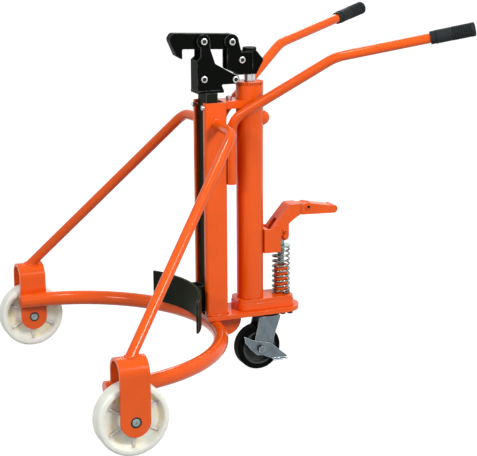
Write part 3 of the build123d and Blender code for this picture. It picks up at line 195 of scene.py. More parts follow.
class Surface(Graph):
    """Node tree of one material."""

    edge_samples: int = 6
    edge_gain: float = 5.0
    corner_samples: int = 8
    open_range: Pair = (0.3, 0.9)

    def __init__(self, name: str) -> None:
        """Start an empty material."""
        self.material = bpy.data.materials.new(name)
        self.material.use_nodes = True
        super().__init__(self.material.node_tree)

    def coordinates(self) -> Signal:
        """Object coordinates, in metres."""
        return self.node("ShaderNodeTexCoord", {}, {}, "Object")

    def noise(self, place: Signal, scale: float, detail: float = 2.0, rough: float = 0.5) -> Signal:
        """Soft noise over the surface.

        Args:
            place: Coordinates that it reads.
            scale: Features per metre.
            detail: Octaves.
            rough: Share of the finer octaves.

        Returns:
            A value around one half.
        """
        inputs = {"Vector": place, "Scale": scale, "Detail": detail, "Roughness": rough}
        return self.node("ShaderNodeTexNoise", {}, inputs)

    def stretched(self, place: Signal, scale: Point) -> Signal:
        """Coordinates stretched along the axes."""
        return self.node("ShaderNodeMapping", {}, {"Vector": place, "Scale": scale})

    def mix(self, factor: Term, first: object, second: object) -> Signal:
        """Blend of two colours.

        Args:
            factor: Share of the second colour.
            first: Colour or signal.
            second: Colour or signal.

        Returns:
            The blended colour.
        """
        return self.node("ShaderNodeMix", {"data_type": "RGBA"}, {0: factor, 6: first, 7: second}, 2)

    def soft_edge(self, radius: float) -> Signal:
        """Normal that rounds the sharp edges by a radius in metres."""
        return self.node("ShaderNodeBevel", {"samples": self.edge_samples}, {"Radius": radius})

    def edge_mask(self, soft: Signal) -> Signal:
        """How far the rounded normal leaves the true one: near 1 on an edge.

        Args:
            soft: The rounded normal.

        Returns:
            A value between 0 and 1.
        """
        true = self.node("ShaderNodeNewGeometry", {}, {}, "Normal")
        same = self.node("ShaderNodeVectorMath", {"operation": "DOT_PRODUCT"}, {0: soft, 1: true}, "Value")
        return ((1 - same) * self.edge_gain).held()

    def crevice(self, reach: float) -> Signal:
        """How deep a place lies in a corner, as a mask for painted shade: near 1 where other faces are within
        reach all round.

        Args:
            reach: Distance in metres.

        Returns:
            A value between 0 and 1.
        """
        settings = {"samples": self.corner_samples}
        openness = self.node("ShaderNodeAmbientOcclusion", settings, {"Distance": reach}, "AO")
        return 1 - openness.step(*self.open_range)

    def bump(self, height: Signal, strength: float, distance: float, normal: Signal) -> Signal:
        """Bumped normal.

        Args:
            height: Height signal.
            strength: Strength of the bump.
            distance: Depth in metres.
            normal: Normal that the bump starts from.

        Returns:
            The normal.
        """
        inputs = {"Strength": strength, "Distance": distance, "Height": height, "Normal": normal}
        return self.node("ShaderNodeBump", {}, inputs)

    def shade(self, **sockets: object) -> bpy.types.Material:
        """Close the tree with a Principled shader.

        Args:
            sockets: Values or signals of its sockets, with underscores for spaces in their names.

        Returns:
            The material.
        """
        named = {key.replace("_", " "): value for key, value in sockets.items()}
        shader = self.node("ShaderNodeBsdfPrincipled", {}, named)
        self.node("ShaderNodeOutputMaterial", {}, {"Surface": shader})
        return self.material


def dimmed(colour: Colour, share: float) -> Colour:
    """Colour brought down to a share of its brightness.

    Args:
        colour: The full colour.
        share: Share that is kept.

    Returns:
        The darker colour.
    """
    return tuple(share * part for part in colour)


@dataclass(frozen=True)
class Enamel:
    """Sprayed paint on steel: orange peel, edges lightened partly by wear and partly by a painted highlight,
    painted shade in the corners, a little dust near the floor.
    """

    name: str
    colour: Colour
    edge_colour: Colour
    roughness: float
    specular: float
    edge_radius: float = 0.0012
    edge_wear: float = 0.4
    # Reach, depth and darkness of the painted shade in corners.
    corner_reach: float = 0.006
    corner_depth: float = 0.55
    corner_dark: float = 0.25
    cloud_scale: float = 7.0
    cloud_range: Pair = (0.3, 0.75)
    cloud_dark: float = 0.88
    cloud_gloss: float = 0.08
    scuff_scale: float = 55.0
    scuff_range: Pair = (0.35, 0.65)
    peel_scale: float = 420.0
    peel_strength: float = 0.05
    peel_depth: float = 0.0004
    dust_colour: Colour = (0.33, 0.27, 0.22)
    dust_height: float = 0.2
    dust_range: Pair = (0.45, 0.75)
    dust_share: float = 0.12
    dust_gloss: float = 0.5

    def material(self) -> bpy.types.Material:
        """Build the node tree."""
        graph = Surface(self.name)
        place = graph.coordinates()
        soft = graph.soft_edge(self.edge_radius)
        cloud = graph.noise(place, self.cloud_scale, detail=3.0)
        scuff = graph.noise(place, self.scuff_scale, detail=5.0, rough=0.65)
        peel = graph.noise(place, self.peel_scale)
        tone = graph.mix(cloud.step(*self.cloud_range), dimmed(self.colour, self.cloud_dark), self.colour)
        # Edges take the lighter edge colour where the scuff noise allows: partly wear, partly a painted
        # highlight.
        worn = graph.edge_mask(soft) * scuff.step(*self.scuff_range) * self.edge_wear
        tone = graph.mix(worn, tone, self.edge_colour)
        # Painted shade: corners darken towards a dim copy of the paint colour.
        corner = graph.crevice(self.corner_reach) * self.corner_depth
        tone = graph.mix(corner, tone, dimmed(self.colour, self.corner_dark))
        height = graph.node("ShaderNodeSeparateXYZ", {}, {"Vector": place}, "Z")
        low_down = 1 - height.step(0.0, self.dust_height)
        dust = low_down * scuff.step(*self.dust_range) * self.dust_share
        tone = graph.mix(dust, tone, self.dust_colour)
        gloss = self.roughness + cloud * self.cloud_gloss + dust * self.dust_gloss
        normal = graph.bump(peel, self.peel_strength, self.peel_depth, soft)
        return graph.shade(Base_Color=tone, Roughness=gloss, Specular_IOR_Level=self.specular, Normal=normal)


@dataclass(frozen=True)
class Metal:
    """Bare or plated metal with fine marks along one axis, clouded plating, a painted highlight on the edges
    and painted shade in the corners.
    """

    name: str
    colour: Colour
    stain: Colour
    roughness: float
    grain: Point
    clouds: float = 18.0
    patches: float = 0.7
    edge_radius: float = 0.0006
    edge_shine: float = 0.0
    shine_colour: Colour = (0.85, 0.87, 0.88)
    # Reach, depth and darkness of the painted shade in corners.
    corner_reach: float = 0.004
    corner_depth: float = 0.8
    corner_dark: float = 0.2
    cloud_range: Pair = (0.38, 0.72)
    cloud_gloss: float = 0.08
    line_range: Pair = (0.35, 0.7)
    line_share: float = 0.3
    line_gloss: float = 0.14
    line_strength: float = 0.06
    line_depth: float = 0.0003

    def material(self) -> bpy.types.Material:
        """Build the node tree."""
        graph = Surface(self.name)
        place = graph.coordinates()
        soft = graph.soft_edge(self.edge_radius)
        cloud = graph.noise(place, self.clouds, detail=4.0, rough=0.6)
        lines = graph.noise(graph.stretched(place, self.grain), 1.0, detail=3.0, rough=0.7)
        tone = graph.mix(cloud.step(*self.cloud_range) * self.patches, self.colour, self.stain)
        tone = graph.mix(lines.step(*self.line_range) * self.line_share, tone, self.stain)
        # Painted highlight: edges lighten towards a pale colour.
        tone = graph.mix(graph.edge_mask(soft) * self.edge_shine, tone, self.shine_colour)
        # Painted shade: corners darken towards a dim copy of the stain.
        corner = graph.crevice(self.corner_reach) * self.corner_depth
        tone = graph.mix(corner, tone, dimmed(self.stain, self.corner_dark))
        gloss = self.roughness + lines * self.line_gloss + cloud * self.cloud_gloss
        normal = graph.bump(lines, self.line_strength, self.line_depth, soft)
        return graph.shade(Base_Color=tone, Metallic=1.0, Roughness=gloss, Normal=normal)


@dataclass(frozen=True)
class Nylon:
    """Cast nylon: waxy, slightly see-through white, with random patches in the thin pockets of a wheel's face
    that are painted light and painted shade.
    """

    name: str
    colour: Colour
    pocket_colour: Colour
    scatter: float
    axle: Pair
    pocket: Pair
    pocket_edge: float = 0.003
    pale_range: Pair = (0.45, 0.7)
    pale_share: float = 0.8
    shade_colour: Colour = (0.68, 0.84, 0.74)
    shade_range: Pair = (0.3, 0.48)
    shade_share: float = 0.6
    cloud_scale: float = 30.0
    mark_scale: float = 140.0
    mark_colour: Colour = (0.5, 0.47, 0.4)
    mark_range: Pair = (0.6, 0.78)
    mark_share: float = 0.1
    mark_strength: float = 0.08
    mark_depth: float = 0.0003
    mark_gloss: float = 0.16
    edge_radius: float = 0.0012
    roughness: float = 0.3
    specular: float = 0.35
    scatter_radius: Point = (0.017, 0.019, 0.014)

    def material(self) -> bpy.types.Material:
        """Build the node tree."""
        graph = Surface(self.name)
        place = graph.coordinates()
        soft = graph.soft_edge(self.edge_radius)
        cloud = graph.noise(place, self.cloud_scale, detail=3.0, rough=0.55)
        mark = graph.noise(place, self.mark_scale, detail=4.0, rough=0.6)
        low, high = self.pocket
        fade = self.pocket_edge
        radius = self._radius(graph, place)
        thin = radius.step(low - fade, low + fade) * (1 - radius.step(high - fade, high + fade))
        # Painted light: random pale yellow patches brighten the recessed pocket.
        pale = thin * cloud.step(*self.pale_range) * self.pale_share
        tone = graph.mix(pale, self.colour, self.pocket_colour)
        # Painted shade: random greenish patches darken the recessed pocket.
        shaded = thin * (1 - cloud.step(*self.shade_range)) * self.shade_share
        tone = graph.mix(shaded, tone, self.shade_colour)
        tone = graph.mix(mark.step(*self.mark_range) * self.mark_share, tone, self.mark_colour)
        normal = graph.bump(mark, self.mark_strength, self.mark_depth, soft)
        gloss = self.roughness + mark * self.mark_gloss
        return graph.shade(Base_Color=tone, Roughness=gloss, Specular_IOR_Level=self.specular,
                           Subsurface_Weight=self.scatter, Subsurface_Radius=self.scatter_radius,
                           Subsurface_Scale=1.0, Normal=normal)

    def _radius(self, graph: Surface, place: Signal) -> Signal:
        """Distance from the wheel's axle."""
        y = graph.node("ShaderNodeSeparateXYZ", {}, {"Vector": place}, "Y") - self.axle[0]
        z = graph.node("ShaderNodeSeparateXYZ", {}, {"Vector": place}, "Z") - self.axle[1]
        return (y * y + z * z) ** 0.5


@dataclass(frozen=True)
class Moulded:
    """Rubber or plastic from a mould, with a fine matt skin."""

    name: str
    colour: Colour
    worn: Colour
    roughness: float
    skin: float
    relief: float = 0.18
    specular: float = 0.12
    # Reach, depth and darkness of the painted shade in corners and grooves.
    corner_reach: float = 0.003
    corner_depth: float = 1.6
    corner_dark: float = 0.05
    edge_radius: float = 0.0008
    edge_rub: float = 0.4
    cloud_scale: float = 30.0
    cloud_range: Pair = (0.5, 0.8)
    cloud_rub: float = 0.3
    cloud_gloss: float = 0.15
    skin_depth: float = 0.0004

    def material(self) -> bpy.types.Material:
        """Build the node tree."""
        graph = Surface(self.name)
        place = graph.coordinates()
        soft = graph.soft_edge(self.edge_radius)
        cloud = graph.noise(place, self.cloud_scale, detail=4.0, rough=0.6)
        pores = graph.node("ShaderNodeTexVoronoi", {"feature": "F1"}, {"Vector": place, "Scale": self.skin})
        rubbed = graph.edge_mask(soft) * self.edge_rub + cloud.step(*self.cloud_range) * self.cloud_rub
        tone = graph.mix(rubbed.held(), self.colour, self.worn)
        # Painted shade: corners and grooves darken nearly to black.
        corner = (graph.crevice(self.corner_reach) * self.corner_depth).held()
        tone = graph.mix(corner, tone, dimmed(self.colour, self.corner_dark))
        normal = graph.bump(pores, self.relief, self.skin_depth, soft)
        gloss = self.roughness + cloud * self.cloud_gloss
        return graph.shade(Base_Color=tone, Roughness=gloss, Specular_IOR_Level=self.specular, Normal=normal)


FINISHES = {
    "orange_paint": Enamel("orange_enamel", (0.88, 0.108, 0.006), (1.0, 0.26, 0.08), 0.12, 0.22),
    "black_paint": Enamel("black_enamel", (0.0026, 0.0034, 0.0026), (0.4, 0.43, 0.43), 0.36, 0.024,
                          edge_radius=0.002, edge_wear=0.8),
    # Lighter copy of the black paint: painted light for the drum plate, inner mast and plate bracket.
    "rubbed_black": Enamel("rubbed_black", (0.0135, 0.018, 0.011), (0.4, 0.43, 0.43), 0.42, 0.024,
                           edge_radius=0.002, edge_wear=0.8),
    "bright_steel": Metal("bright_steel", (0.56, 0.57, 0.57), (0.3, 0.31, 0.31), 0.2, (300.0, 60.0, 60.0)),
    "axle_steel": Metal("axle_steel", (0.27, 0.33, 0.315), (0.12, 0.15, 0.145), 0.25, (300.0, 60.0, 60.0)),
    "zinc_plate": Metal("zinc_plate", (0.145, 0.178, 0.2), (0.06, 0.075, 0.086), 0.24, (70.0, 260.0, 40.0),
                        clouds=45.0, patches=0.4, edge_radius=0.002, edge_shine=0.9),
    "white_nylon": Nylon("cast_nylon", (0.89, 0.93, 0.82), (0.97, 0.87, 0.56), 0.65,
                         (-0.453, 0.09), (0.036, 0.07)),
    "grip_rubber": Moulded("grip_rubber", (0.025, 0.0285, 0.03), (0.055, 0.061, 0.065), 0.5, 420.0,
                           relief=0.5, specular=0.03),
    "slide_plastic": Moulded("slide_plastic", (0.03, 0.03, 0.031), (0.07, 0.07, 0.07), 0.45, 600.0),
    "spring_steel": Metal("spring_wire", (0.23, 0.245, 0.225), (0.06, 0.07, 0.06), 0.1,
                          (120.0, 120.0, 120.0)),
    "rod_chrome": Metal("hard_chrome", (0.62, 0.63, 0.64), (0.24, 0.24, 0.25), 0.06, (260.0, 260.0, 2.0),
                        patches=0.06),
    "dark_iron": Metal("black_oxide", (0.03, 0.031, 0.032), (0.015, 0.015, 0.016), 0.45, (40.0, 40.0, 300.0)),
    "caster_tread": Moulded("caster_tread", (0.0022, 0.003, 0.0024), (0.007, 0.009, 0.0075), 0.55, 500.0,
                            specular=0.025),
    "hub_plastic": Moulded("hub_plastic", (0.05, 0.06, 0.057), (0.13, 0.15, 0.145), 0.4, 600.0),
}

# The drum plate, inner mast and plate bracket take the lighter black as painted light.
NODE_FINISHES = {"plunger": "axle_steel", "inner_mast": "rubbed_black", "drum_plate": "rubbed_black",
                 "plate_bracket": "rubbed_black"}


class Paintbox:
    """Materials made once from their finishes."""

    def __init__(self) -> None:
        """Make every material."""
        self.materials = {slot: finish.material() for slot, finish in FINISHES.items()}

    def dress(self, frame: dict) -> None:
        """Give each node of the frame its own finish or that of its slot."""
        slots = {row["node"]: row["material_slot"] for row in frame["record"]["subparts"]}
        for name, node in frame["nodes"].items():
            node.data.materials.clear()
            node.data.materials.append(self.materials[NODE_FINISHES.get(name, slots[name])])
            LOG.info("dressed %s", name)


def along_x(x: float, y: float, z: float, side: float = 1.0) -> Matrix:
    """Frame whose Z axis points along X, to the given side.

    Args:
        x: Place.
        y: Place.
        z: Place.
        side: 1 for +X and -1 for -X.

    Returns:
        The frame.
    """
    return Matrix.Translation((x, y, z)) @ Matrix.Rotation(side * math.pi / 2, 4, "Y")


def facing(along: Vector) -> Matrix:
    """Turn that points the Z axis along a direction.

    Args:
        along: The direction.

    Returns:
        The turn.
    """
    return along.to_track_quat("Z", "Y").to_matrix().to_4x4()


def middle_of(node: str) -> Vector:
    """Middle of a node's box.

    Args:
        node: The node's name.

    Returns:
        The point.
    """
    low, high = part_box(node)
    return (low + high) / 2


def edges_of(verts: Iterable[bmesh.types.BMVert]) -> list[bmesh.types.BMEdge]:
    """Edges that end at any of the vertices.

    Args:
        verts: The vertices.

    Returns:
        Each edge once.
    """
    return list({edge for vert in verts for edge in vert.link_edges})


def of_kind(items: Iterable[object], kind: type) -> list:
    """What an operator made of one kind.

    Args:
        items: All that it made.
        kind: Vertices, edges or faces.

    Returns:
        The items of that kind.
    """
    return [item for item in items if isinstance(item, kind)]


class Piece:
    """One new mesh that grows from bmesh operators and rides on a body."""

    corner_steps: int = 4
    bore_steps: int = 32
    head_sides: int = 24
    key_sides: int = 6
    bead_sides: int = 10
    bead_taper: float = 0.7

    def __init__(self, name: str, body: str, slot: str, finish_name: str = "") -> None:
        """Start an empty mesh.

        Args:
            name: The piece's name.
            body: The body that it rides on.
            slot: The record's material slot.
            finish_name: Finish where it isn't the slot's own.
        """
        self.name = name
        self.body = body
        self.slot = slot
        self.finish_name = finish_name or slot
        self.mesh = bmesh.new()

    def lathe(self, outline: Sequence[Pair], steps: int, place: Matrix) -> None:
        """Turn a closed outline round the local Z axis.

        Args:
            outline: Corners as radius and height.
            steps: Faces round the axis.
            place: Where the turned shape goes.
        """
        verts = [self.mesh.verts.new((radius, 0.0, height)) for radius, height in outline]
        edges = [self.mesh.edges.new(pair) for pair in zip(verts, verts[1:] + verts[:1])]
        before = set(self.mesh.verts) - set(verts)
        bmesh.ops.spin(self.mesh, geom=verts + edges, cent=(0, 0, 0), axis=(0, 0, 1), angle=2 * math.pi,
                       steps=steps, use_merge=True)
        fresh = [vert for vert in self.mesh.verts if vert not in before]
        bmesh.ops.transform(self.mesh, matrix=place, verts=fresh)

    def block(self, size: Point, place: Matrix, rounding: float) -> None:
        """Box with rounded edges.

        Args:
            size: Length along each axis.
            place: Where its middle goes.
            rounding: Width of the rounded edges.
        """
        made = bmesh.ops.create_cube(self.mesh, size=1.0)["verts"]
        bmesh.ops.scale(self.mesh, vec=size, verts=made)
        fresh = self._soften(edges_of(made), rounding)
        bmesh.ops.transform(self.mesh, matrix=place, verts=list(set(fresh)))

    def plate(self, outline: Sequence[Pair], corner: float, start: float, thick: float,
              middle: Pair, bore: float = 0.0) -> None:
        """Flat plate across X with rounded corners.

        Args:
            outline: Corners as Y and Z from the middle.
            corner: Length cut off each side of a corner by its rounding.
            start: Its lower X.
            thick: Its thickness.
            middle: Y and Z of the middle.
            bore: Radius of a hole at the middle.
        """
        old = set(self.mesh.faces)
        verts = [self.mesh.verts.new((start, middle[0] + y, middle[1] + z)) for y, z in outline]
        edges = [self.mesh.edges.new(pair) for pair in zip(verts, verts[1:] + verts[:1])]
        bmesh.ops.contextual_create(self.mesh, geom=edges)
        self._soften(verts, corner, self.corner_steps, "VERTICES")
        blank = [face for face in self.mesh.faces if face not in old]
        loops = [edge for face in blank for edge in face.edges]
        if bore:
            bmesh.ops.delete(self.mesh, geom=blank, context="FACES_ONLY")
            place = along_x(start, *middle)
            ring = bmesh.ops.create_circle(self.mesh, segments=self.bore_steps, radius=bore, matrix=place)
            bmesh.ops.triangle_fill(self.mesh, edges=loops + edges_of(ring["verts"]), use_beauty=True)
            blank = [face for face in self.mesh.faces if face not in old]
        made = bmesh.ops.extrude_face_region(self.mesh, geom=blank)["geom"]
        bmesh.ops.translate(self.mesh, vec=(thick, 0, 0), verts=of_kind(made, bmesh.types.BMVert))

    def prism(self, sides: int, radius: float, length: float, place: Matrix, rounding: float) -> None:
        """Bar with flat sides along the local Z axis, centred, with softened ends.

        Args:
            sides: Number of sides.
            radius: Corner radius of the bar.
            length: Length along Z.
            place: Where its middle goes.
            rounding: Width of the softened edges.
        """
        made = bmesh.ops.create_cone(self.mesh, cap_ends=True, segments=sides, radius1=radius, radius2=radius,
                                     depth=length)["verts"]
        ends = [edge for edge in edges_of(made)
                if abs(edge.verts[0].co.z - edge.verts[1].co.z) < length / 2]
        fresh = self._soften(ends, rounding)
        loose = {vert for vert in made if vert.is_valid} | set(fresh)
        bmesh.ops.transform(self.mesh, matrix=place, verts=list(loose))

    def socket_head(self, radius: float, height: float, place: Matrix, key: float) -> None:
        """Screw head along the local Z axis with a six-sided socket in its rounded end.

        Args:
            radius: Outer radius.
            height: Height of the head.
            place: Where the head's foot goes.
            key: Corner radius of the socket.
        """
        lift = Matrix.Translation((0, 0, height))
        crown, shoulder = 0.84, 0.95
        rim = bmesh.ops.create_circle(self.mesh, segments=self.head_sides, radius=radius * crown,
                                      matrix=lift)["verts"]
        hole = bmesh.ops.create_circle(self.mesh, segments=self.key_sides, radius=key, matrix=lift)["verts"]
        rim_edges, hole_edges = edges_of(rim), edges_of(hole)
        bmesh.ops.bridge_loops(self.mesh, edges=rim_edges + hole_edges)
        bevel = radius * (1 - crown)
        runs = [self._drop(hole_edges, bevel * 2, 1.0)]
        bmesh.ops.contextual_create(self.mesh, geom=runs[0][1])
        loop = rim_edges
        rounding = ((bevel * 0.3, shoulder / crown), (bevel * 0.7, 1 / shoulder), (height - bevel, 1.0))
        for depth, widen in rounding:
            runs.append(self._drop(loop, depth, widen))
            loop = runs[-1][1]
        bmesh.ops.contextual_create(self.mesh, geom=loop)
        fresh = set(rim) | set(hole) | {vert for verts, _ in runs for vert in verts}
        bmesh.ops.transform(self.mesh, matrix=place, verts=list(fresh))

    def cup(self, radius: float, depth: float, place: Matrix) -> None:
        """Six-sided hollow liner, open along the local Z axis, that lines a socket; in a dark finish it
        paints the shade inside the socket.

        Args:
            radius: Outer corner radius.
            depth: Outside depth.
            place: Where the middle of its mouth goes.
        """
        sunk = Matrix.Translation((0, 0, -depth / 2))
        made = bmesh.ops.create_cone(self.mesh, cap_ends=True, segments=self.key_sides, radius1=radius,
                                     radius2=radius, depth=depth, matrix=place @ sunk)["verts"]
        mouth = place.to_3x3() @ Vector((0, 0, 1))
        faces = {face for vert in made for face in vert.link_faces}
        top = max(faces, key=lambda face: face.calc_center_median().dot(mouth))
        wall, floor = radius * 0.12, depth * 0.7
        bmesh.ops.inset_individual(self.mesh, faces=[top], thickness=wall, depth=-floor)

    def _soften(self, geom: list, width: float, segments: int = 2, affect: str = "EDGES") -> list:
        """Round edges or corners.

        Args:
            geom: The edges or vertices.
            width: Width of the rounding.
            segments: Faces across it.
            affect: EDGES or VERTICES.

        Returns:
            The new vertices.
        """
        return bmesh.ops.bevel(self.mesh, geom=geom, offset=width, offset_type="OFFSET", segments=segments,
                               profile=0.5, affect=affect, material=-1)["verts"]

    def _drop(self, edges: list, depth: float, widen: float) -> tuple[list, list]:
        """Extrude a loop of edges down the Z axis.

        Args:
            edges: The loop.
            depth: How far down.
            widen: Scale of the new loop.

        Returns:
            The new vertices and edges.
        """
        made = bmesh.ops.extrude_edge_only(self.mesh, edges=edges)["geom"]
        verts, loop = of_kind(made, bmesh.types.BMVert), of_kind(made, bmesh.types.BMEdge)
        bmesh.ops.translate(self.mesh, vec=(0, 0, -depth), verts=verts)
        bmesh.ops.scale(self.mesh, vec=(widen, widen, 1.0), verts=verts)
        return verts, loop

    def bead(self, radius: float, start: Vector, end: Vector) -> None:
        """Weld bead along a straight joint, drawn in at both ends.

        Args:
            radius: Radius of the bead.
            start: One end.
            end: The other end.
        """
        along = end - start
        place = Matrix.Translation((start + end) / 2) @ facing(along)
        self.prism(self.bead_sides, radius, along.length, place, radius * self.bead_taper)

    def round_bead(self, radius: float, points: Sequence[Vector]) -> None:
        """Weld bead along a smooth closed line.

        Args:
            radius: Radius of the bead.
            points: Control points of the line.
        """
        curve = bpy.data.curves.new(self.name, "CURVE")
        curve.dimensions = "3D"
        curve.bevel_depth = radius
        curve.bevel_resolution = 2
        curve.resolution_u = 4
        spline = curve.splines.new("NURBS")
        spline.points.add(len(points) - 1)
        for control, point in zip(spline.points, points):
            control.co = (*point, 1.0)
        spline.use_cyclic_u = True
        spline.order_u = 3
        holder = bpy.data.objects.new(self.name, curve)
        data = bpy.data.meshes.new_from_object(holder)
        self.mesh.from_mesh(data)
        bpy.data.objects.remove(holder)
        bpy.data.curves.remove(curve)
        bpy.data.meshes.remove(data)

    def finish(self, paint: Paintbox, replaces: Iterable[str] = (), sharp: float = 35.0) -> bpy.types.Object:
        """Close the mesh and place it in the scene.

        Args:
            paint: Materials.
            replaces: Nodes that the piece stands for.
            sharp: Angle in degrees past which an edge stays sharp.

        Returns:
            The object.
        """
        bmesh.ops.remove_doubles(self.mesh, verts=self.mesh.verts, dist=1e-6)
        bmesh.ops.recalc_face_normals(self.mesh, faces=self.mesh.faces)
        data = bpy.data.meshes.new(self.name)
        self.mesh.to_mesh(data)
        self.mesh.free()
        data.shade_smooth()
        data.set_sharp_from_angle(angle=math.radians(sharp))
        data.materials.append(paint.materials[self.finish_name])
        made = bpy.data.objects.new(self.name, data)
        bpy.context.scene.collection.objects.link(made)
        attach(made, self.body)
        if replaces:
            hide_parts(*replaces)
        LOG.info("made %s", self.name)
        return made


@dataclass
class RollerWheel:
    """Cast nylon front wheel with a dished, ribbed face."""

    side: Side
    radius: float = 0.08995
    half_width: float = 0.025
    web: float = 0.0135
    rim: float = 0.072
    hub: float = 0.032
    bore: float = 0.0235
    ribs: int = 6
    rib_rise: float = 0.004
    rib_width: float = 0.007
    rib_run_in: float = 0.004
    edge: float = 0.002
    fillet: float = 0.003
    dish_run: float = 0.008
    shoulder: float = 0.008
    steps: int = 72

    def build(self, paint: Paintbox) -> bpy.types.Object:
        """Turn the wheel, add its ribs and put it over the plain node."""
        node = f"{self.side.label}_wheel"
        piece = Piece(f"{node}_cast", node, "white_nylon")
        place = along_x(*middle_of(node))
        piece.lathe(self._outline(), self.steps, place)
        self._add_ribs(piece, place)
        return piece.finish(paint, [node], sharp=28.0)

    def _outline(self) -> list[Pair]:
        """Closed section from the bore to the tread."""
        side, web, hub, rim, tread = self.half_width, self.web, self.hub, self.rim, self.radius
        edge, fillet, shoulder = self.edge, self.fillet, self.shoulder
        bulge = 0.15 * shoulder
        face = [(self.bore, side), (hub - edge, side), (hub, side - edge), (hub + edge, web + fillet),
                (hub + edge + fillet, web), (rim - self.dish_run, web), (rim - fillet, web + fillet),
                (rim + edge, side - fillet), (rim + 2 * edge, side - edge / 4), (tread - shoulder, side),
                (tread - shoulder / 2, side - bulge), (tread - bulge, side - shoulder / 2),
                (tread, side - shoulder)]
        back = [(radius, -height) for radius, height in reversed(face)]
        return face + back

    def _add_ribs(self, piece: Piece, place: Matrix) -> None:
        """Put the radial ribs on both faces."""
        length = self.rim - self.hub + 2 * self.rib_run_in
        height = 2 * (self.web + self.rib_rise)
        for number in range(self.ribs):
            turn = Matrix.Rotation(2 * math.pi * number / self.ribs, 4, "Z")
            middle = Matrix.Translation(((self.rim + self.hub) / 2, 0, 0))
            piece.block((length, self.rib_width, height), place @ turn @ middle, self.rib_width * 0.45)


@dataclass
class FrontAxles:
    """Turned axle pins with a dark retaining ring on the outside of each fork leg; the ring's dark finish is
    painted shade for the gap round the pin.
    """

    radius: float = 0.01
    chamfer: float = 0.0012
    dimple: float = 0.003
    proud: float = 0.002
    ring_radius: float = 0.0134
    ring_thick: float = 0.001
    ring_gap: float = 0.0001
    pin_steps: int = 40
    ring_steps: int = 32

    def build(self, paint: Paintbox) -> None:
        """Turn both pins and their rings."""
        pins = Piece("front_axle_pins", "frame", "bright_steel", "axle_steel")
        # The dark rings paint the shadowed gap round each pin end.
        rings = Piece("axle_rings", "frame", "dark_iron")
        for side in Side:
            low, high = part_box(f"{side.label}_fork")
            middle = middle_of(f"{side.label}_wheel")
            half = (high.x - low.x) / 2
            pins.lathe(self._outline(half + self.proud), self.pin_steps, along_x(*middle))
            for way in (1.0, -1.0):
                seat = along_x(middle.x + way * half, middle.y, middle.z, way)
                rings.lathe(self._ring_outline(), self.ring_steps, seat)
        pins.finish(paint, ["front_axles"], sharp=25.0)
        rings.finish(paint)

    def _outline(self, half: float) -> list[Pair]:
        """Closed section of a pin with chamfered, centre-drilled ends."""
        end = [(TURNED_TIP, half - self.dimple), (self.dimple / 2, half), (self.radius - self.chamfer, half),
               (self.radius, half - self.chamfer)]
        return end + [(radius, -height) for radius, height in reversed(end)]

    def _ring_outline(self) -> list[Pair]:
        """Closed section of a retaining ring that sits on the leg."""
        inner = self.radius + self.ring_gap
        edge = self.ring_thick * 0.4
        return [(inner, 0.0), (self.ring_radius, 0.0), (self.ring_radius, self.ring_thick - edge),
                (self.ring_radius - edge, self.ring_thick), (inner, self.ring_thick)]


@dataclass
class Grip:
    """Rubber grip with a plain collar, a smooth waist, a checkered outer half and a flanged end."""

    side: Side
    elbow: Point = (0.174, 0.212, 0.873)
    end: Point = (0.3187, 0.532, 0.945)
    inner: float = 0.0131
    wall: float = 0.0051
    length: float = 0.112
    cap: float = 0.004
    collar_length: float = 0.014
    lip: float = 0.0013
    waist_end: float = 0.056
    flange: float = 0.011
    rows: int = 8
    steps: int = 40
    pad_gap: float = 0.0012
    pad_rise: float = 0.0011
    end_curve: tuple[Pair, ...] = ((0.0, 0.0025), (0.0012, 0.0008), (0.003, 0.0))
    end_tip: float = 0.0005

    def build(self, paint: Paintbox) -> bpy.types.Object:
        """Turn the grip, raise its pads and put it over the plain node."""
        mirror = Vector((self.side.value, 1.0, 1.0))
        end = Vector(self.end) * mirror
        along = (end - Vector(self.elbow) * mirror).normalized()
        place = Matrix.Translation(end - along * self.length) @ facing(along)
        node = f"{self.side.label}_grip"
        piece = Piece(f"{node}_checkered", "frame", "grip_rubber")
        piece.lathe(self._outline(), self.steps, place)
        self._raise_pads(piece, place.inverted())
        return piece.finish(paint, [node], sharp=40.0)

    def _outline(self) -> list[Pair]:
        """Closed section of the sleeve."""
        outer = self.inner + self.wall
        low = outer - self.lip
        soft = self.lip / 2
        neck = self.collar_length
        top = self.length + self.cap
        points = [(self.inner, 0.0), (low - soft, 0.0), (low, soft), (low, neck - soft), (low - soft, neck),
                  (outer - soft, neck), (outer, neck + soft), (outer, neck + 3 * soft),
                  (outer - soft, neck + 5 * soft), (outer - soft, self.waist_end - soft)]
        rise = (top - self.flange - self.waist_end) / self.rows
        points += [(low, self.waist_end + row * rise) for row in range(self.rows + 1)]
        points.append((outer, top - self.flange + soft))
        points += [(outer - inward, top - down) for inward, down in self.end_curve]
        points += [(self.end_tip, top), (self.end_tip, self.length), (self.inner, self.length)]
        return points

    def _raise_pads(self, piece: Piece, back: Matrix) -> None:
        """Raise the pads of the checkered part, each two faces wide.

        Args:
            piece: The turned sleeve.
            back: From the frame to the sleeve's own axes.
        """
        mesh = piece.mesh
        bmesh.ops.recalc_face_normals(mesh, faces=mesh.faces)
        seams = []
        for edge in mesh.edges:
            start, end = (back @ vert.co for vert in edge.verts)
            number = round(math.atan2(start.y, start.x) / (2 * math.pi / self.steps))
            lengthways = abs(start.z - end.z) > self.lip
            if number % 2 and lengthways and self._on_band(start) and self._on_band(end):
                seams.append(edge)
        bmesh.ops.dissolve_edges(mesh, edges=seams, use_verts=False)
        pads = [face for face in mesh.faces if self._on_band(back @ face.calc_center_median())]
        bmesh.ops.inset_individual(mesh, faces=pads, thickness=self.pad_gap, depth=self.pad_rise)

    def _on_band(self, point: Vector) -> bool:
        """Whether a point on the sleeve's own axes is on the checkered part."""
        slack = self.lip / 4
        top = self.length + self.cap - self.flange
        outside = math.hypot(point.x, point.y) > self.inner + slack
        return outside and self.waist_end - slack < point.z < top + slack


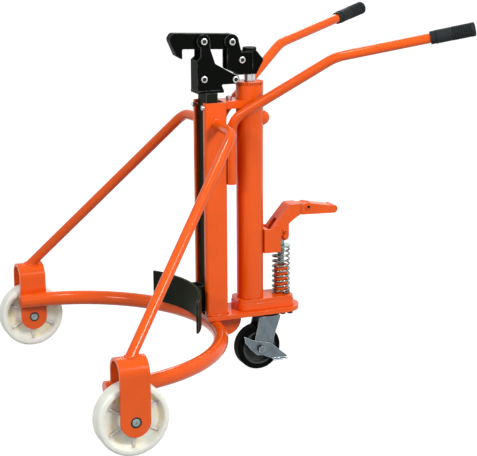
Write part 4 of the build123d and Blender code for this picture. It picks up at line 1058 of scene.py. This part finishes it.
@dataclass
class ReturnSpring:
    """Compression spring round the pump barrel, pressed flat end turns."""

    y: float = 0.137
    foot: float = 0.208
    length: float = 0.132
    radius: float = 0.023
    wire: float = 0.0055
    turns: int = 10
    seat: float = 0.0003
    end_pitch: float = 0.0063
    stroke: float = 0.0131
    steps: int = 36
    wire_steps: int = 14

    def build(self, paint: Paintbox) -> bpy.types.Object:
        """Wind the wire in three runs and give the object its own mesh."""
        piece = Piece("return_spring_wire", "frame", "spring_steel")
        start = Matrix.Translation((self.radius, self.y, self.foot + self.seat + self.wire / 2))
        face = start @ Matrix.Rotation(math.pi / 2, 4, "X")
        ring = bmesh.ops.create_circle(piece.mesh, segments=self.wire_steps, radius=self.wire / 2,
                                       matrix=face)
        first = loop = edges_of(ring["verts"])
        active = self.turns - 2
        run = self.length - self.wire - 2 * self.seat - 2 * self.end_pitch
        for turns, pitch in ((1, self.end_pitch), (active, run / active), (1, self.end_pitch)):
            loop = self._wind(piece, loop, turns, pitch)
        bmesh.ops.contextual_create(piece.mesh, geom=first)
        bmesh.ops.contextual_create(piece.mesh, geom=loop)
        made = piece.finish(paint, ["return_spring"], sharp=60.0)
        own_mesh(made)
        return made

    def _wind(self, piece: Piece, loop: list, turns: int, pitch: float) -> list:
        """Wind a number of turns from the last loop.

        Args:
            piece: The piece that grows.
            loop: Edges of the wire's open end.
            turns: Turns to add.
            pitch: Rise of one turn.

        Returns:
            Edges of the new open end.
        """
        ends = bmesh.ops.spin(piece.mesh, geom=loop, cent=(0, self.y, 0), axis=(0, 0, 1),
                              dvec=(0, 0, pitch / self.steps), angle=2 * math.pi * turns,
                              steps=self.steps * turns)["geom_last"]
        return of_kind(ends, bmesh.types.BMEdge)


@dataclass
class ScrewSet:
    """Socket screws across the clamp head, each with a nut at its far end."""

    name: str
    body: str
    node: str
    places: Sequence[Pair]
    half: float
    head: float = 0.009
    rise: float = 0.006
    shank: float = 0.006
    key: float = 0.0058
    socket_depth: float = 0.0025
    shank_edge: float = 0.0004
    nut_edge: float = 0.0006
    shank_sides: int = 24
    nut_sides: int = 6

    def build(self, paint: Paintbox) -> None:
        """Make each screw with its head at +X, and line its socket dark as painted shade."""
        piece = Piece(f"{self.name}_screws", self.body, "bright_steel")
        # A dark liner in each socket paints the shade inside it.
        sockets = Piece(f"{self.name}_sockets", self.body, "dark_iron")
        for y, z in self.places:
            piece.prism(self.shank_sides, self.shank, 2 * self.half, along_x(0, y, z), self.shank_edge)
            piece.socket_head(self.head, self.rise, along_x(self.half, y, z), self.key)
            sockets.cup(self.key * SOCKET_FIT, self.socket_depth, along_x(self.half + self.rise, y, z))
            nut = along_x(-self.half - self.rise / 2, y, z, -1.0)
            piece.prism(self.nut_sides, self.head, self.rise, nut, self.nut_edge)
        piece.finish(paint, [self.node], sharp=30.0)
        sockets.finish(paint)


@dataclass
class PedalPin:
    """Painted hinge pin of the pedal with a boss round it and a socket in its end, lined dark as painted
    shade.
    """

    y: float = 0.209
    z: float = 0.447
    half: float = 0.022
    radius: float = 0.005
    key: float = 0.0042
    boss: float = 0.0092
    boss_rise: float = 0.003
    socket_depth: float = 0.0015
    boss_steps: int = 32

    def build(self, paint: Paintbox) -> None:
        """Make the pin and line its socket dark as painted shade."""
        pin = Piece("pedal_hinge_pin", "pedal", "orange_paint")
        pin.socket_head(self.radius, 2 * self.half, along_x(-self.half, self.y, self.z), self.key)
        edge = self.boss_rise * 0.4
        ring = [(self.radius, 0.0), (self.boss, 0.0), (self.boss, self.boss_rise - edge),
                (self.boss - edge, self.boss_rise), (self.radius, self.boss_rise)]
        for way in (1.0, -1.0):
            pin.lathe(ring, self.boss_steps, along_x(way * self.half, self.y, self.z, way))
        pin.finish(paint, ["pedal_pin"], sharp=30.0)
        socket = Piece("pedal_hinge_socket", "pedal", "dark_iron")
        socket.cup(self.key * SOCKET_FIT, self.socket_depth, along_x(self.half, self.y, self.z))
        socket.finish(paint)


@dataclass
class FillerPlug:
    """Domed filler plug on the rear of the reservoir."""

    dome_steps: int = 12
    steps: int = 48

    def build(self, paint: Paintbox) -> bpy.types.Object:
        """Turn the dome and put it over the plain node."""
        low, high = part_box("filler_plug")
        middle = middle_of("filler_plug")
        radius = (high.z - low.z) / 2
        reach = high.y - low.y
        outline = [(TURNED_TIP, 0.0)]
        for step in range(self.dome_steps):
            angle = math.pi / 2 * step / self.dome_steps
            outline.append((radius * math.cos(angle), reach * math.sin(angle)))
        outline.append((TURNED_TIP, reach))
        piece = Piece("filler_plug_dome", "frame", "orange_paint")
        rearward = Matrix.Rotation(-math.pi / 2, 4, "X")
        piece.lathe(outline, self.steps, Matrix.Translation((middle.x, low.y, middle.z)) @ rearward)
        return piece.finish(paint, ["filler_plug"], sharp=30.0)


@dataclass
class SwivelRace:
    """Pressed ball race of the caster: two cups with a gap between them."""

    bore: float = KINGPIN_BORE
    groove: float = 0.0016
    lip: float = 0.0012
    steps: int = 48

    def build(self, paint: Paintbox) -> bpy.types.Object:
        """Turn the race and put it over the plain node."""
        low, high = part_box("swivel_race")
        middle = middle_of("swivel_race")
        outer = (high.x - low.x) / 2
        tall = high.z - low.z
        gap = tall / 2
        outline = [(self.bore, 0.0), (outer - 2 * self.lip, 0.0), (outer - self.lip, self.lip),
                   (outer - self.lip, gap - self.lip), (outer - self.lip - self.groove, gap - self.lip / 2),
                   (outer - self.lip - self.groove, gap + self.lip / 2), (outer, gap + self.lip),
                   (outer, tall), (self.bore, tall)]
        piece = Piece("swivel_race_pressed", "frame", "zinc_plate")
        piece.lathe(outline, self.steps, Matrix.Translation((middle.x, middle.y, low.z)))
        return piece.finish(paint, ["swivel_race"], sharp=30.0)


@dataclass
class CasterFork:
    """Pressed fork of the caster: a round crown and two broad legs that lean to the axle."""

    axle: Pair = CASTER_AXLE
    bore: float = KINGPIN_BORE
    crown: float = 0.034
    crown_steps: int = 64
    leg: float = 0.004
    corner: float = 0.004
    shoulder: tuple[Pair, ...] = ((0.0, 0.0), (0.061, 0.0), (0.059, -0.008))
    rear_edge: tuple[Pair, ...] = ((0.041, 0.0286), (0.036, 0.0), (0.012, -0.0155))
    front_edge: tuple[Pair, ...] = ((-0.012, -0.0155), (-0.0155, 0.0), (-0.0155, 0.03))

    def build(self, paint: Paintbox) -> bpy.types.Object:
        """Turn the crown, add the legs and put the fork over the plain node."""
        low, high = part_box("caster_fork")
        swivel = middle_of("swivel_race")
        top = high.z - self.axle[1] - self.leg / 2
        outline = [(y, top + z) for y, z in self.shoulder]
        outline += self.rear_edge + self.front_edge
        piece = Piece("caster_fork_pressed", "caster", "zinc_plate")
        soft = self.leg / 3
        section = [(self.bore, 0.0), (self.crown - soft, 0.0), (self.crown, soft),
                   (self.crown, self.leg - soft), (self.crown - soft, self.leg), (self.bore, self.leg)]
        crown_foot = Matrix.Translation((swivel.x, swivel.y, high.z - self.leg))
        piece.lathe(section, self.crown_steps, crown_foot)
        for start in (low.x, high.x - self.leg):
            piece.plate(outline, self.corner, start, self.leg, self.axle)
        return piece.finish(paint, ["caster_fork"], sharp=30.0)


@dataclass
class BrakePlate:
    """Pressed side brake of the caster: a claw at the front and a tread bent out at the rear."""

    axle: Pair = CASTER_AXLE
    bore: float = 0.0061
    thick: float = 0.003
    corner: float = 0.002
    upper_edge: tuple[Pair, ...] = ((-0.048, 0.039), (-0.024, 0.026), (0.031, 0.0115))
    foot: float = -0.0315
    foot_span: Pair = (0.081, 0.031)
    lower_edge: tuple[Pair, ...] = ((0.006, -0.0195), (-0.01, -0.0185), (-0.029, -0.001), (-0.0465, 0.022))
    downward: float = -0.95
    bend: float = 0.0015
    bend_angle: float = math.radians(80.0)
    bend_steps: int = 5
    tread: float = 0.008

    def build(self, paint: Paintbox) -> bpy.types.Object:
        """Cut the plate, bend its tread and put it over the plain node."""
        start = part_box("brake_plate")[0].x
        outline = [*self.upper_edge, *((y, self.foot) for y in self.foot_span), *self.lower_edge]
        piece = Piece("brake_plate_pressed", "brake", "zinc_plate")
        piece.plate(outline, self.corner, start, self.thick, self.axle, self.bore)
        self._bend_tread(piece.mesh, start + self.thick)
        return piece.finish(paint, ["brake_plate"], sharp=30.0)

    def _bend_tread(self, mesh: bmesh.types.BMesh, outside: float) -> None:
        """Carry the foot of the plate round a bend and out to a tread.

        Args:
            mesh: The flat plate.
            outside: X of its outer face.
        """
        bmesh.ops.recalc_face_normals(mesh, faces=mesh.faces)
        under = [face for face in mesh.faces if face.normal.z < self.downward]
        foot = max(under, key=lambda face: face.calc_area())
        centre = (outside + self.bend, 0.0, self.axle[1] + self.foot)
        turned = bmesh.ops.spin(mesh, geom=[foot], cent=centre, axis=(0, 1, 0), angle=-self.bend_angle,
                                steps=self.bend_steps)
        end = of_kind(turned["geom_last"], bmesh.types.BMFace)
        out = Vector((math.sin(self.bend_angle), 0.0, -math.cos(self.bend_angle))) * self.tread
        made = bmesh.ops.extrude_face_region(mesh, geom=end)["geom"]
        bmesh.ops.translate(mesh, vec=out, verts=of_kind(made, bmesh.types.BMVert))


@dataclass
class Welds:
    """Beads where the tubes and plates of the frame are joined."""

    bead: float = 0.0032
    brace_radius: float = 0.0135
    brace_elbow: Point = (0.175, -0.0755, 0.694)
    brace_top: Pair = (-0.0637, 0.6968)
    strap: float = 0.008
    ring_z: float = 0.146
    handle_x: float = 0.04
    handle_span: Pair = (0.54, 0.68)
    saddle: Pair = (0.0203, 0.0757)
    foot_points: int = 18
    ring_points: int = 8
    ring_steps: int = 40
    slim: float = 0.8
    tail_rise: float = 0.009
    handle_spread: float = 0.0075
    saddle_inset: float = 0.002
    short_inset: float = 0.004
    long_inset: float = 0.012
    mast_front_inset: float = 0.008
    mast_rear_inset: float = 0.006

    def build(self, paint: Paintbox) -> bpy.types.Object:
        """Lay every bead."""
        piece = Piece("frame_welds", "frame", "orange_paint")
        for side in Side:
            self._brace_top(piece, side.value)
            self._brace_foot(piece, side)
            self._ring_tail(piece, side.value)
            self._handle_foot(piece, side.value)
            self._bracket_side(piece, side.value)
            self._gusset_side(piece, side.value)
        self._mast_foot(piece)
        return piece.finish(paint, sharp=50.0)

    def _brace_top(self, piece: Piece, side: int) -> None:
        """Bead where a brace meets the mast."""
        _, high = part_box("mast_channel")
        outline = []
        for step in range(self.ring_points):
            angle = 2 * math.pi * step / self.ring_points
            outline.append((self.brace_radius + self.bead * math.cos(angle), self.bead * math.sin(angle)))
        piece.lathe(outline, self.ring_steps, along_x(side * high.x, *self.brace_top, side))

    def _brace_foot(self, piece: Piece, side: Side) -> None:
        """Bead round the foot of a brace, which is cut to the fork's arch."""
        low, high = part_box(f"{side.label}_fork")
        half = (high.x - low.x) / 2
        crown = Vector(((low.x + high.x) / 2, (low.y + high.y) / 2, high.z - half))
        foot = crown + Vector((0, 0, half - self.strap))
        elbow = Vector(self.brace_elbow) * Vector((side.value, 1.0, 1.0))
        along = (elbow - foot).normalized()
        across = along.orthogonal().normalized()
        upward = along.cross(across)
        line = []
        for step in range(self.foot_points):
            angle = 2 * math.pi * step / self.foot_points
            start = foot + (across * math.cos(angle) + upward * math.sin(angle)) * self.brace_radius
            line.append(start + along * self._reach(start - crown, along, half))
        piece.round_bead(self.bead, line)

    @staticmethod
    def _reach(start: Vector, along: Vector, radius: float) -> float:
        """Distance along a line to a round bar that lies along Y through the origin.

        Args:
            start: Point on the line.
            along: Direction of the line.
            radius: Radius of the bar.

        Returns:
            The further of the two distances.
        """
        a = along.x ** 2 + along.z ** 2
        b = start.x * along.x + start.z * along.z
        c = start.x ** 2 + start.z ** 2 - radius ** 2
        return (math.sqrt(b * b - a * c) - b) / a

    def _ring_tail(self, piece: Piece, side: int) -> None:
        """Beads where the base ring lies against the inner leg of a fork."""
        low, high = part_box("right_fork")
        x = side * (low.x - self.bead / 2)
        front, rear = low.y + self.short_inset, high.y - self.long_inset
        for rise in (self.tail_rise, -self.tail_rise):
            z = self.ring_z + rise
            piece.bead(self.bead, Vector((x, front, z)), Vector((x, rear, z)))

    def _handle_foot(self, piece: Piece, side: int) -> None:
        """Beads along a handle on the mast's rear corner."""
        _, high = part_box("mast_channel")
        low_z, top_z = self.handle_span
        y = high.y + self.bead / 2
        for offset in (-self.handle_spread, self.handle_spread):
            x = side * (self.handle_x + offset)
            piece.bead(self.bead * self.slim, Vector((x, y, low_z)), Vector((x, y, top_z)))

    def _bracket_side(self, piece: Piece, side: int) -> None:
        """Bead down one edge of the lever bracket's saddle on the cylinder."""
        low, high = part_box("lever_bracket")
        x, y = self.saddle
        foot = Vector((side * x, y, low.z + self.saddle_inset))
        top = Vector((side * x, y, high.z - self.saddle_inset))
        piece.bead(self.bead * self.slim, foot, top)

    def _gusset_side(self, piece: Piece, side: int) -> None:
        """Bead along one side of the gusset under the base plate."""
        low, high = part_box("ring_gusset")
        x = side * (high.x + self.bead / 3)
        front, rear = low.y + self.long_inset, high.y - self.short_inset
        piece.bead(self.bead, Vector((x, front, high.z)), Vector((x, rear, high.z)))

    def _mast_foot(self, piece: Piece) -> None:
        """Beads round the mast on the base plate."""
        low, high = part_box("mast_channel")
        proud, inset = self.bead / 3, self.mast_rear_inset
        z = low.z + proud
        front, rear = low.y + self.mast_front_inset, high.y - inset
        for x in (low.x - proud, high.x + proud):
            piece.bead(self.bead, Vector((x, front, z)), Vector((x, rear, z)))
        back = high.y + proud
        piece.bead(self.bead, Vector((low.x + inset, back, z)), Vector((high.x - inset, back, z)))


@dataclass
class Studio:
    """Pale floor, soft light and the camera at the photographed angle."""

    camera_place: Point = (3.6162, -1.4701, 1.3503)
    azimuth: float = 66.6621
    pitch: float = 14.7397
    focal_pixels: float = 1488.89
    frame_width: float = 477.0
    shift: Pair = (-0.0558, 0.06)
    sensor: float = 36.0
    fill: float = 0.34
    floor_tone: float = 0.22
    floor_glow: float = 0.92
    floor_roughness: float = 0.9
    floor_size: float = 30.0
    aim: Point = (0.0, 0.0, 0.45)
    view_limit: float = 200.0

    def build(self) -> None:
        """Set the stage, the lamps, the world and the camera."""
        bpy.context.scene.view_settings.view_transform = "Standard"
        self._floor()
        self._world()
        self._lamp("key_lamp", place=(3.4, 1.5, 2.6), size=1.0, power=122.0)
        self._lamp("front_lamp", place=(1.6, -3.6, 2.4), size=1.0, power=55.0)
        self._lamp("rear_lamp", place=(-2.8, 1.6, 3.0), size=1.6, power=62.0)
        self._lamp("top_lamp", place=(0.7, -0.6, 3.3), size=0.2, power=22.0)
        self._camera()

    def _floor(self) -> None:
        """Wide pale floor that keeps the shadow."""
        mesh = bmesh.new()
        bmesh.ops.create_grid(mesh, x_segments=1, y_segments=1, size=self.floor_size)
        data = bpy.data.meshes.new("floor")
        mesh.to_mesh(data)
        mesh.free()
        floor = bpy.data.objects.new("floor", data)
        bpy.context.scene.collection.objects.link(floor)
        graph = Surface("floor_card")
        glow = graph.mix(graph.shown() * self.floor_glow, (0.0, 0.0, 0.0), (1.0, 1.0, 1.0))
        tone = (self.floor_tone, self.floor_tone, self.floor_tone)
        data.materials.append(graph.shade(Base_Color=tone, Roughness=self.floor_roughness,
                                          Emission_Color=glow, Emission_Strength=1.0))

    def _world(self) -> None:
        """Even light from all round, and a white background for the camera."""
        world = bpy.data.worlds.new("studio")
        bpy.context.scene.world = world
        world.use_nodes = True
        graph = Graph(world.node_tree)
        light = graph.shown() * (1 - self.fill) + self.fill
        sky = graph.node("ShaderNodeBackground", {}, {"Color": (1.0, 1.0, 1.0), "Strength": light})
        graph.node("ShaderNodeOutputWorld", {}, {"Surface": sky})

    def _lamp(self, name: str, place: Point, size: float, power: float) -> None:
        """Square soft lamp that faces the truck's middle."""
        data = bpy.data.lights.new(name, "AREA")
        data.size = size
        data.energy = power
        lamp = bpy.data.objects.new(name, data)
        lamp.location = place
        lamp.rotation_mode = "QUATERNION"
        lamp.rotation_quaternion = (Vector(self.aim) - Vector(place)).to_track_quat("-Z", "Y")
        bpy.context.scene.collection.objects.link(lamp)

    def _camera(self) -> None:
        """Camera solved on the photograph."""
        data = bpy.data.cameras.new("camera")
        data.sensor_width = self.sensor
        data.lens = self.focal_pixels * self.sensor / self.frame_width
        data.shift_x, data.shift_y = self.shift
        data.clip_end = self.view_limit
        camera = bpy.data.objects.new("camera", data)
        turn, tilt = math.radians(self.azimuth), math.radians(self.pitch)
        back = Vector((math.sin(turn) * math.cos(tilt), -math.cos(turn) * math.cos(tilt), math.sin(tilt)))
        camera.location = self.camera_place
        camera.rotation_mode = "QUATERNION"
        camera.rotation_quaternion = (-back).to_track_quat("-Z", "Y")
        bpy.context.scene.collection.objects.link(camera)
        bpy.context.scene.camera = camera


def main() -> None:
    """Dress the frame, add the new pieces and set the stage."""
    logging.basicConfig(level=logging.INFO, format="%(name)s: %(message)s")
    for old in list(bpy.data.objects):
        bpy.data.objects.remove(old)
    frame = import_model()
    paint = Paintbox()
    paint.dress(frame)
    pivot, link, rod = (-0.093, 0.911), (-0.012, 0.906), (0.0155, 0.858)
    tongue, arm = (-0.0934, 0.8135), (-0.0056, 0.809)
    bracket_half, link_half = 0.025, 0.0187
    assemblies = [RollerWheel(side) for side in Side] + [Grip(side) for side in Side]
    assemblies += [FrontAxles(), ReturnSpring(), PedalPin(), FillerPlug(), SwivelRace(), CasterFork(),
                   BrakePlate(), Welds(),
                   ScrewSet("bracket", "carriage", "head_bolts", [pivot, tongue, arm], bracket_half),
                   ScrewSet("link", "hook", "link_bolt", [link], link_half),
                   ScrewSet("rod", "ram", "rod_head_bolt", [rod], link_half)]
    for assembly in assemblies:
        assembly.build(paint)
    Studio().build()


if __name__ == "__main__":
    main()
